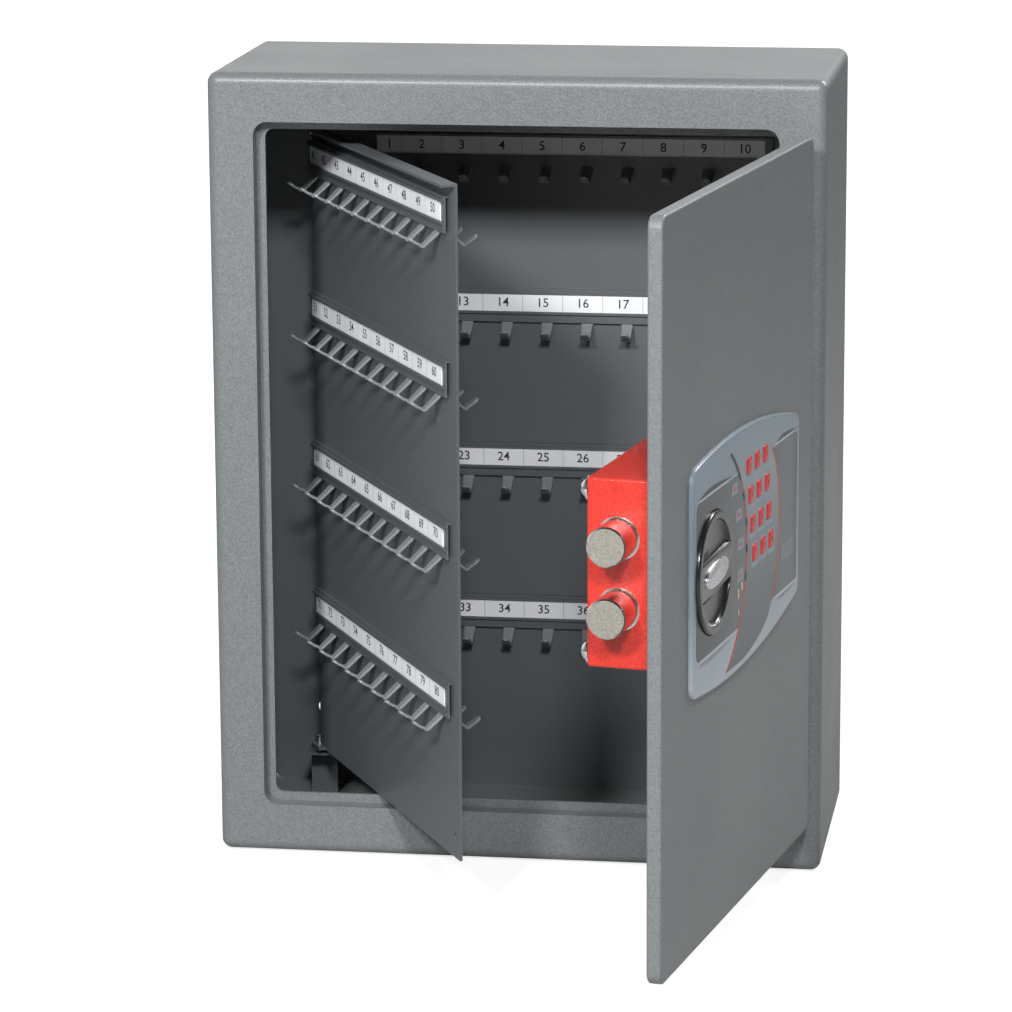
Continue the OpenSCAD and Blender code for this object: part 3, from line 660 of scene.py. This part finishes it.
# %% [markdown]
# ## The lock cover
# The cover is folded from one sheet, so its corners are slightly round and its holes have clean edges. Folding is
# copied by rounding the edges of a box with a bevel and cutting the holes with boolean tools, which leaves a true
# wall thickness where the bolts pass through.

# %% Lock cover
CUT = 5 * mm
WALL = 1.5 * mm
FOLD = 1.6 * mm
SPARE = 6 * mm
BOLT_AIR = 1.0 * mm


def closed_box(node):
    """A node's box on the shut door, in metres."""
    back = door_turn.inverted()
    points = [back @ vertex.co for vertex in NODES[node].data.vertices]
    return (Vector([min(p[k] for p in points) for k in range(3)]),
            Vector([max(p[k] for p in points) for k in range(3)]))


def cutter_for(piece, shape, name):
    """Cuts shape out of piece."""
    mesh = bpy.data.meshes.new(name)
    bmesh.ops.recalc_face_normals(shape, faces=shape.faces)
    shape.to_mesh(mesh)
    shape.free()
    tool = bpy.data.objects.new(name, mesh)
    scene.collection.objects.link(tool)
    cut = piece.modifiers.new(name, "BOOLEAN")
    cut.object = tool
    cut.operation = "DIFFERENCE"
    cut.solver = "EXACT"
    bpy.context.view_layer.update()
    result = bpy.data.meshes.new_from_object(piece.evaluated_get(bpy.context.evaluated_depsgraph_get()))
    piece.modifiers.clear()
    result.name = piece.data.name
    piece.data = result
    bpy.data.objects.remove(tool)


def soft_block(shape, low, high, radius, steps=4):
    """A block with every edge rounded."""
    made = bmesh.ops.create_cube(shape, size=1)["verts"]
    for vertex in made:
        vertex.co = Vector([low[k] if vertex.co[k] < 0 else high[k] for k in range(3)])
    edges = list({edge for vertex in made for edge in vertex.link_edges})
    bmesh.ops.bevel(shape, geom=edges, offset=radius, segments=steps, profile=0.5, affect="EDGES")


def rod(shape, start, end, radius, count=48):
    """A round rod between two points."""
    axis = (end - start).normalized()
    side = axis.orthogonal().normalized()
    other = axis.cross(side)
    rings = []
    for centre in (start, end):
        rings.append(ring_of(shape, [centre + radius * (math.cos(2 * math.pi * i / count) * side
                                     + math.sin(2 * math.pi * i / count) * other) for i in range(count)]))
    bridge(shape, *rings)
    shape.faces.new(rings[0])
    shape.faces.new(rings[1])


def make_cover():
    """The folded cover, on the shut door, then swung with it."""
    low, high = closed_box("lock_cover")
    sheet = bmesh.new()
    soft_block(sheet, low - Vector((0, SPARE, 0)), high, FOLD)
    cover = make("red_cover", sheet, cover_red, "door", stands_for=("lock_cover",))
    inside = bmesh.new()
    soft_block(inside, low + Vector((WALL, -CUT - SPARE, WALL)), high - Vector((WALL, WALL, WALL)), FOLD / 2, 2)
    cutter_for(cover, inside, "inside")
    open_side = bmesh.new()
    bmesh.ops.create_cube(open_side, size=1, matrix=Matrix.Translation((0, low.y - 0.05, 0))
                          @ Matrix.Diagonal((1, 0.1, 1, 1)))
    cutter_for(cover, open_side, "open_side")
    bolts_low, bolts_high = closed_box("lock_bolts")
    bolt_r = (bolts_high.y - bolts_low.y) / 2
    bolt_y = (bolts_high.y + bolts_low.y) / 2
    for z in (bolts_low.z + bolt_r, bolts_high.z - bolt_r):
        hole = bmesh.new()
        rod(hole, Vector((low.x - CUT, bolt_y, z)), Vector((low.x + CUT, bolt_y, z)), bolt_r + BOLT_AIR, 64)
        cutter_for(cover, hole, "bolt_hole")
    cover.data.transform(door_turn)
    cover.data.shade_smooth()
    cover.data.set_sharp_from_angle(angle=math.radians(40))


make_cover()

# %% [markdown]
# ## The fascia's outline
# The fascia is one moulded plate with arched long sides. Its outline is drawn from the same rules as the working
# part: two arcs of one large circle, above and below the knob's centre line, joined by round corners.

# %% Fascia outline
fascia_low, fascia_high = closed_box("fascia")
knob_centre = door_turn.inverted() @ Vector(JOINTS["dial_turn"]["pos_m"])
knob_x, knob_z = knob_centre.x, knob_centre.z
ARCH = 578 * mm
arch_x = knob_x + 42.5 * mm
arch_top = (fascia_high.z - fascia_low.z) / 2


def arch(x, inset=0.0):
    """Half the height of the fascia at x."""
    return arch_top - inset - ARCH + math.sqrt(ARCH ** 2 - (x - arch_x) ** 2)


def arched(x0, x1, r, inset=0.0, count=14):
    """A closed outline with arched top and bottom and round corners."""
    upper = []
    for start, cx in ((180, x0 + r), (90, x1 - r)):
        tilt = math.degrees(math.asin((arch_x - cx) / ARCH))
        first, last = (180, 90 + tilt) if start == 180 else (90 + tilt, 0)
        for i in range(7):
            a = math.radians(first + (last - first) * i / 6)
            upper.append((cx + r * math.cos(a), arch(cx, inset) - r + r * math.sin(a)))
        if start == 180:
            for i in range(1, count):
                x = x0 + r + (x1 - x0 - 2 * r) * i / count
                upper.append((x, arch(x, inset)))
    lower = [(x, -z) for x, z in reversed(upper)]
    return [(x, z + knob_z) for x, z in upper + lower]


print("knob centre on the shut door", round(knob_x, 4), round(knob_z, 4))

# %% [markdown]
# ## The fascia's plate
# A round-edged slab is built from the outline, and the knob's well and twelve key holes are cut through it. It
# wears a silvery paint with a painted reflection that makes it lighter towards its lower edge, which one colour
# could not show. The same two cutters serve again later, for the prints that cross the holes.

# %% Fascia plate
KNOB_WELL = 33 * mm
KEY_GAP = 0.15 * mm
KEY_HOLE_ROUND = 1.2 * mm
key_boxes = {i: closed_box(f"button_{i}") for i in range(1, 13)}
fascia_face = fascia_low.y


def fascia_paint_and_reflection():
    """Silver-blue, with a painted reflection that makes it lighter towards the lower edge."""
    finish, shader, tree = new_finish("fascia_paint_and_reflection", 0.3)
    axes = tree.nodes.new("ShaderNodeSeparateXYZ")
    tree.links.new(own_place(tree), axes.inputs[0])
    rise = tree.nodes.new("ShaderNodeMapRange")
    rise.inputs["From Min"].default_value = fascia_low.z
    rise.inputs["From Max"].default_value = fascia_high.z
    tree.links.new(axes.outputs["Z"], rise.inputs["Value"])
    cloud = grain(tree, 40, 3)
    mixed = tree.nodes.new("ShaderNodeMath")
    mixed.operation = "MULTIPLY_ADD"
    tree.links.new(cloud, mixed.inputs[0])
    mixed.inputs[1].default_value = 0.12
    tree.links.new(rise.outputs["Result"], mixed.inputs[2])
    # the lighter lower end of this ramp is a painted reflection, not a change in the paint
    tone = ramp(tree, mixed.outputs[0], [(0.05, (0.44, 0.51, 0.56)), (0.45, (0.25, 0.31, 0.35)),
                                         (0.75, (0.20, 0.26, 0.30)), (1.0, (0.25, 0.31, 0.36))])
    tree.links.new(tone, shader.inputs["Base Color"])
    bump(tree, shader, grain(tree, 1500, 2), 0.00002)
    return finish


def cut_well(piece, name, place=Matrix.Identity(4)):
    """Opens the round hole that the knob stands in."""
    hole = bmesh.new()
    rod(hole, Vector((knob_x, front_y + CUT, knob_z)), Vector((knob_x, fascia_face - CUT, knob_z)),
        KNOB_WELL, 96)
    hole.transform(place)
    cutter_for(piece, hole, name)


def cut_key(piece, low, high, name, place=Matrix.Identity(4)):
    """Opens the hole of one key."""
    hole = bmesh.new()
    slab(hole, rounded(low.x - KEY_GAP, high.x + KEY_GAP, low.z - KEY_GAP, high.z + KEY_GAP, KEY_HOLE_ROUND),
         front_y + CUT, fascia_face - CUT, 0.1 * mm, 1)
    hole.transform(place)
    cutter_for(piece, hole, name)


fascia_silver_and_reflection = fascia_paint_and_reflection()
plate_shape = bmesh.new()
slab(plate_shape, arched(fascia_low.x, fascia_high.x, 8 * mm), front_y, fascia_face, 1.6 * mm, 5)
fascia = make("fascia_plate", plate_shape, fascia_silver_and_reflection, "door", stands_for=("fascia",))
cut_well(fascia, "knob_well")
for low, high in key_boxes.values():
    cut_key(fascia, low, high, "key_hole")
fascia.data.transform(door_turn)
fascia.data.shade_smooth()
fascia.data.set_sharp_from_angle(angle=math.radians(35))

# %% [markdown]
# ## Tones for the printed panels
# The prints are thin plates that lie on the moulding, a tenth of a millimetre proud, so they have a real edge but
# no visible step. Large prints change tone from one end to the other, so their finish follows a place along the
# door or up it. Small ones are plain, with the faint clouds of any moulded part.

# %% Print tones
PRINT = 0.12 * mm


def printed(name, outline, finish, level=1):
    """A thin print of this outline on the fascia."""
    shape = bmesh.new()
    front = fascia_face - level * PRINT
    slab(shape, outline, fascia_face + 0.05 * mm, front, 0.04 * mm, 2)
    return make(name, shape, finish, "door", door_turn, smooth=False)


def graded(name, first, last, stops, roughness=0.22, axis="Y"):
    """A glossy print that changes tone between two places, along the open door or up it."""
    finish, shader, tree = new_finish(name, roughness)
    axes = tree.nodes.new("ShaderNodeSeparateXYZ")
    tree.links.new(own_place(tree), axes.inputs[0])
    along = tree.nodes.new("ShaderNodeMapRange")
    for end, value in (("From Min", first), ("From Max", last)):
        if axis == "Y":
            value = (door_turn @ Vector((value, fascia_face, 0))).y
        along.inputs[end].default_value = value
    tree.links.new(axes.outputs[axis], along.inputs["Value"])
    mixed = tree.nodes.new("ShaderNodeMath")
    mixed.operation = "MULTIPLY_ADD"
    tree.links.new(grain(tree, 60, 3), mixed.inputs[0])
    mixed.inputs[1].default_value = 0.10
    tree.links.new(along.outputs["Result"], mixed.inputs[2])
    tree.links.new(ramp(tree, mixed.outputs[0], stops), shader.inputs["Base Color"])
    bump(tree, shader, grain(tree, 1500, 2), 0.00001)
    return finish


left_dark = graded("left_dark", -95 * mm, 5 * mm,
                   [(0.0, (0.012, 0.016, 0.020)), (0.45, (0.028, 0.038, 0.046)), (1.0, (0.075, 0.095, 0.11))])
right_dark = graded("right_dark", 55 * mm, 107 * mm,
                    [(0.0, (0.030, 0.045, 0.055)), (0.35, (0.075, 0.095, 0.105)),
                     (0.75, (0.080, 0.100, 0.110)), (1.0, (0.022, 0.036, 0.046))])
field_grey = graded("field_grey", knob_z - 60 * mm, knob_z + 42 * mm,
                    [(0.0, (0.075, 0.092, 0.10)), (0.35, (0.11, 0.13, 0.14)), (1.0, (0.26, 0.31, 0.34))],
                    0.3, "Z")
tab_grey_and_groove_light = moulded("tab_grey_and_groove_light", (0.26, 0.30, 0.33), 0.35)
pale_square = moulded("pale_square", (0.29, 0.35, 0.39), 0.35)
arc_red = moulded("arc_red", (0.55, 0.03, 0.025), 0.3)
slit_black = moulded("slit_black", (0.02, 0.025, 0.03), 0.3)
slit_light = moulded("slit_light", (0.60, 0.66, 0.70), 0.3)
mark_yellow = moulded("mark_yellow", (0.62, 0.55, 0.30), 0.4)

# %% [markdown]
# ## The dark panels and the key field
# Two dark panels flank the key field. Each ends in an arc of nearly one radius, one round the knob and one a
# field's width further right, so the field between them swells like a lens. Arcs and quarter circles make all
# three outlines, and one smooth curve closes the field below.

# %% Dark panels and key field
ARC_R = 64.5 * mm
right_centre = knob_x + 65.5 * mm
right_shift = 0.3 * mm
panel_half = 41.5 * mm
panel_angle = math.degrees(math.asin(panel_half / ARC_R))
left_edge = fascia_low.x + 6 * mm
right_edge = fascia_high.x - 5.5 * mm
LEFT_ROUND = 4 * mm
RIGHT_ROUND = 3 * mm


def arc(cx, cz, r, first, last, count=16):
    """Points along an arc, in degrees from +X."""
    return [(cx + r * math.cos(math.radians(first + (last - first) * i / count)),
             cz + r * math.sin(math.radians(first + (last - first) * i / count))) for i in range(count + 1)]


def corner(cx, cz, r, first):
    """A quarter circle, in steps."""
    return arc(cx, cz, r, first, first + 90, 5)


def curve_between(start, pull, end, count=14):
    """Points of a smooth curve between start and end, drawn towards pull."""
    points = []
    for i in range(1, count):
        t = i / count
        points.append(tuple((1 - t) ** 2 * a + 2 * t * (1 - t) * b + t ** 2 * c
                            for a, b, c in zip(start, pull, end)))
    return points


left_outline = (arc(knob_x, knob_z, ARC_R - 0.4 * mm, -panel_angle, panel_angle, 24)
                + corner(left_edge + LEFT_ROUND, knob_z + panel_half - LEFT_ROUND, LEFT_ROUND, 90)
                + corner(left_edge + LEFT_ROUND, knob_z - panel_half + LEFT_ROUND, LEFT_ROUND, 180))
right_arc = arc(right_centre - right_shift, knob_z, 66.0 * mm, -39, 39, 24)
right_outline = (list(reversed(right_arc))
                 + corner(right_edge - RIGHT_ROUND, knob_z - panel_half + RIGHT_ROUND, RIGHT_ROUND, 270)
                 + corner(right_edge - RIGHT_ROUND, knob_z + panel_half - RIGHT_ROUND, RIGHT_ROUND, 0))
field_outline = (arc(knob_x, knob_z, ARC_R + 0.5 * mm, -68, panel_angle, 24)
                 + list(reversed(arc(right_centre - right_shift, knob_z, 65.4 * mm, -38, 38, 20)))
                 + curve_between((53 * mm, -42 * mm), (43 * mm, -57 * mm), (-12 * mm, -61 * mm)))
cut_well(printed("left_panel", left_outline, left_dark), "print_well", door_turn)
printed("right_panel", right_outline, right_dark)
key_field = printed("key_field", field_outline, field_grey)
for low, high in key_boxes.values():
    cut_key(key_field, low, high, "print_key_hole", door_turn)

# %% [markdown]
# ## The red arcs
# A thin red line follows each arc and thins out towards its ends, as a printed taper does. Four short black
# notches and one black groove interrupt the left line. Each is a strip between two radii, so one function with
# a taper at both ends makes them all.

# %% Red arcs


def band(cx, cz, inner, outer, first, last, count=28):
    """An arc-shaped strip that tapers to nothing at its ends."""
    middle, half = (inner + outer) / 2, (outer - inner) / 2
    one, other = [], []
    for i in range(count + 1):
        t = i / count
        a = math.radians(first + (last - first) * t)
        w = half * min(1.0, 8 * t + 0.15, 8 * (1 - t) + 0.15)
        one.append((cx + (middle + w) * math.cos(a), cz + (middle + w) * math.sin(a)))
        other.append((cx + (middle - w) * math.cos(a), cz + (middle - w) * math.sin(a)))
    return one + list(reversed(other))


printed("left_arc", band(knob_x, knob_z, ARC_R - 0.2 * mm, ARC_R + 1.3 * mm, -66, 41), arc_red, 2)
printed("right_arc", band(right_centre, knob_z, 65.2 * mm, 66.7 * mm, -40, 40), arc_red, 2)
printed("upper_groove", band(knob_x, knob_z, ARC_R - 0.9 * mm, ARC_R + 0.9 * mm, 36, 60), slit_black, 3)
NOTCH_SPAN = 2.2
for i, degree in enumerate((25.5, 11.5, -1.5, -15)):
    notch = band(knob_x, knob_z, ARC_R - 0.6 * mm, ARC_R + 1.7 * mm, degree - NOTCH_SPAN, degree + NOTCH_SPAN, 8)
    printed(f"arc_notch_{i + 1}", notch, slit_black, 3)

# %% [markdown]
# ## Slits along the panels
# A light line and a slim tapered slit follow each long edge of the dark panels. They are lens-shaped: flat on
# the panel's side and bulging away from it. The upper slits are black, a painted shade, and the lower ones grey,
# a painted light, because the real grooves catch light only below.

# %% Slits


def sliver(x0, x1, z, bulge, side):
    """A lens-shaped slit along a panel's long edge."""
    count = 14
    low = [(x0 + (x1 - x0) * i / count, z) for i in range(count + 1)]
    high = []
    for i in range(1, count):
        t = i / count
        high.append((x0 + (x1 - x0) * t, z + side * bulge * math.sin(math.pi * t ** 0.7) ** 1.2))
    return low + list(reversed(high))


for side, word in ((1, "upper"), (-1, "lower")):
    edge = knob_z + side * (panel_half + 0.9 * mm)
    slit_z = edge + side * 1.2 * mm
    # upper slits are painted shade in the grooves, lower slits reuse the tab grey as painted light
    groove_shade_and_light = slit_black if side > 0 else tab_grey_and_groove_light
    for name, x0, x1, z, bulge, tone in (
            ("left_line", left_edge + 3 * mm, knob_x + 49 * mm, edge, 0.7 * mm, slit_light),
            ("left_slit", left_edge + 5 * mm, knob_x + 34 * mm, slit_z, 2.3 * mm, groove_shade_and_light),
            ("right_line", 57 * mm, right_edge - 2 * mm, edge, 0.7 * mm, slit_light),
            ("right_slit", 64 * mm, right_edge - 3 * mm, slit_z, 2.0 * mm, groove_shade_and_light)):
        printed(f"{word}_{name}", sliver(x0, x1, z, bulge, side), tone, 2)

# %% [markdown]
# ## Tabs, marks and the window
# Light tabs sit along the left arc, each with a short red bar, and three small yellow dashes stand below them.
# A dark oblong on the right panel is the place of a small window. All are plain prints. The tabs are set out
# from the knob's centre line so that they keep their places if the lock moves.

# %% Tabs and marks
for i, (x, z) in enumerate(((-22.5, 35.5), (-14.5, 20), (-10, 3.5), (-10.5, -13.5))):
    cx, cz = x * mm, knob_z + z * mm
    tab = [(cx - 5.5 * mm, cz - 3.2 * mm), (cx + 6.4 * mm, cz - 3.2 * mm), (cx + 6.2 * mm, cz + 3.0 * mm),
           (cx - 4.5 * mm, cz + 3.0 * mm)]
    printed(f"arc_tab_{i + 1}", tab, tab_grey_and_groove_light, 2)
    bar = rounded(cx - 2.6 * mm, cx + 2.2 * mm, cz - 0.9 * mm, cz + 0.5 * mm, 0.3 * mm, 2)
    printed(f"tab_mark_{i + 1}", bar, arc_red, 3)
DASH_WIDTH = 1.8
for i, (x, z, tall) in enumerate(((-14.5, -25, 5), (-7.5, -22, 4.5), (-14.2, -34, 2.5))):
    dash = rounded(x * mm, (x + DASH_WIDTH) * mm, z * mm, (z + tall) * mm, 0.5 * mm, 2)
    printed(f"arc_dash_{i + 1}", dash, mark_yellow, 3)
window = [(72 * mm, -24.5 * mm), (98 * mm, -24.5 * mm), (98 * mm, -15 * mm), (72 * mm, -15 * mm)]
printed("right_window", window, moulded("window_grey", (0.16, 0.19, 0.21), 0.3), 2)

# %% [markdown]
# ## Squares behind the keys
# Each key stands on a pale square that shows as a thin edge on three sides and a wider one below. The square is
# a print like the others, with the key's hole cut through it, so the key can be pressed without touching it.

# %% Key squares
for i, (low, high) in key_boxes.items():
    square = rounded(low.x - 2.0 * mm, high.x + 2.6 * mm, low.z - 3.2 * mm, high.z + 0.9 * mm, 1.2 * mm)
    backing = printed(f"key_square_{i}", square, pale_square, 2)
    cut_key(backing, low, high, "square_hole", door_turn)

# %% [markdown]
# ## The keys
# Twelve soft red caps stand a millimetre proud and can each be pressed. A rounded block would do from afar.
# Here each cap also carries its numeral in dark ink, as on any number pad, and cap and ink are one mesh, so they
# travel together.

# %% Keys
key_red = moulded("key_red", (0.66, 0.022, 0.018), 0.35, 900, 0.00004, 0.2)
key_ink = moulded("key_ink", (0.10, 0.012, 0.012), 0.5)
KEY_SIGNS = ("1", "2", "3", "4", "5", "6", "7", "8", "9", "*", "0", "#")
SIGN_HEIGHT = 4.6 * mm
SIGN_PROUD = 0.03 * mm
for i, (low, high) in key_boxes.items():
    shape = bmesh.new()
    soft_block(shape, low, high, 1.1 * mm, 4)
    sign = numeral(KEY_SIGNS[i - 1], SIGN_HEIGHT)
    sign.transform(Matrix.Translation(((low.x + high.x) / 2, low.y - SIGN_PROUD, (low.z + high.z) / 2)))
    cap_faces = set(shape.faces)
    shape.from_mesh(sign)
    for face in shape.faces:
        face.material_index = 0 if face in cap_faces else 1
    bpy.data.meshes.remove(sign)
    make(f"key_cap_{i}", shape, [key_red, key_ink], f"key_{i}", door_turn, (f"button_{i}",))

# %% [markdown]
# ## The knob
# The knob is a low black dial. Two finger wells are scooped out of its face, one on each side of a bar that the
# fingers turn. The wells are cut from a round-edged disc, and a bevel then rounds every cut edge, as a mould
# would.

# %% Knob
knob_low, knob_high = closed_box("knob")
knob_face = knob_low.y
TILT = math.radians(3)
DIAL_R = 32.5 * mm


def well_outline(side, inset=0.0):
    """A D shape above or below the bar."""
    r, bar = 28.2 * mm - inset, 9.2 * mm + inset
    start = math.degrees(math.asin(bar / r))
    points = arc(0, 0, r, start, 180 - start, 30)
    return [(x, side * z) for x, z in points]


def make_knob():
    """The dial, with its wells cut and its edges rounded."""
    disc = bmesh.new()
    slab(disc, arc(0, 0, DIAL_R, 0, 360 - 3.75, 95), knob_high.y, knob_face, 1.4 * mm, 5)
    knob = make("knob_dial", disc, black_plastic, "dial", stands_for=("knob",))
    for side in (1, -1):
        cut = bmesh.new()
        rings = []
        for depth, inset in ((-3, 0.0), (0.5, 0.2), (1.8, 0.9), (2.6, 2.6), (2.9, 5.5)):
            y = knob_face + depth * mm
            rings.append(ring_of(cut, [(x, y, z) for x, z in well_outline(side, inset * mm)]))
        for a, b in zip(rings, rings[1:]):
            bridge(cut, a, b)
        cut.faces.new(rings[0])
        cut.faces.new(rings[-1])
        cutter_for(knob, cut, "finger_well")
    soften = knob.modifiers.new("soften", "BEVEL")
    soften.width = 0.5 * mm
    soften.segments = 3
    soften.limit_method = "ANGLE"
    soften.angle_limit = math.radians(50)
    bpy.context.view_layer.update()
    result = bpy.data.meshes.new_from_object(knob.evaluated_get(bpy.context.evaluated_depsgraph_get()))
    knob.modifiers.clear()
    knob.data = result
    lean_bar = Matrix.Translation((knob_x, 0, knob_z)) @ Matrix.Rotation(-TILT, 4, "Y")
    knob.data.transform(door_turn @ lean_bar)
    knob.data.shade_smooth()
    knob.data.set_sharp_from_angle(angle=math.radians(45))
    return lean_bar


lean_bar = make_knob()

# %% [markdown]
# ## The badge on the knob
# The badge on the bar is a plain brushed oval: one slab for the rim and a smaller one laid on it for the face,
# standing a little proud. Its scratches run along the badge, so the texture is stretched across them. It turns
# with the knob.

# %% Badge
badge_low, badge_high = closed_box("knob_badge")


def badge_paint():
    """Brushed silver, with its scratches along the badge."""
    finish, shader, tree = new_finish("badge_silver", 0.3, 1.0)
    stretch = tree.nodes.new("ShaderNodeMapping")
    stretch.inputs["Scale"].default_value = (1, 1, 14)
    tree.links.new(own_place(tree), stretch.inputs["Vector"])
    lines = grain(tree, 220, 4, 0.6, stretch.outputs["Vector"])
    tree.links.new(ramp(tree, lines, [(0.3, (0.55, 0.56, 0.58)), (0.7, (0.88, 0.89, 0.91))]),
                   shader.inputs["Base Color"])
    tree.links.new(spread(tree, lines, 0.22, 0.42), shader.inputs["Roughness"])
    bump(tree, shader, lines, 0.00003)
    return finish


def oval(half_length, half_height, count=64):
    """An oval with slightly pointed ends."""
    points = []
    for i in range(count):
        a = 2 * math.pi * i / count
        height = half_height * math.copysign(abs(math.sin(a)) ** 0.85, math.sin(a))
        points.append((half_length * math.cos(a), height))
    return points


badge_silver = badge_paint()
badge_shape = bmesh.new()
slab(badge_shape, oval(20.5 * mm, 6.5 * mm), badge_high.y, badge_low.y, 0.45 * mm, 4)
slab(badge_shape, oval(18.6 * mm, 4.9 * mm), badge_high.y - 0.1 * mm, badge_low.y - 0.12 * mm, 0.1 * mm, 2)
make("badge_oval", badge_shape, badge_silver, "dial", door_turn @ lean_bar, ("knob_badge",))

# %% [markdown]
# ## Pieces without a finish
# Any working piece that was left without a finish is named.

# %% Name pieces without a finish
for name, node in NODES.items():
    if not node.data.materials or node.data.materials[0] is None:
        print("no finish yet:", name)
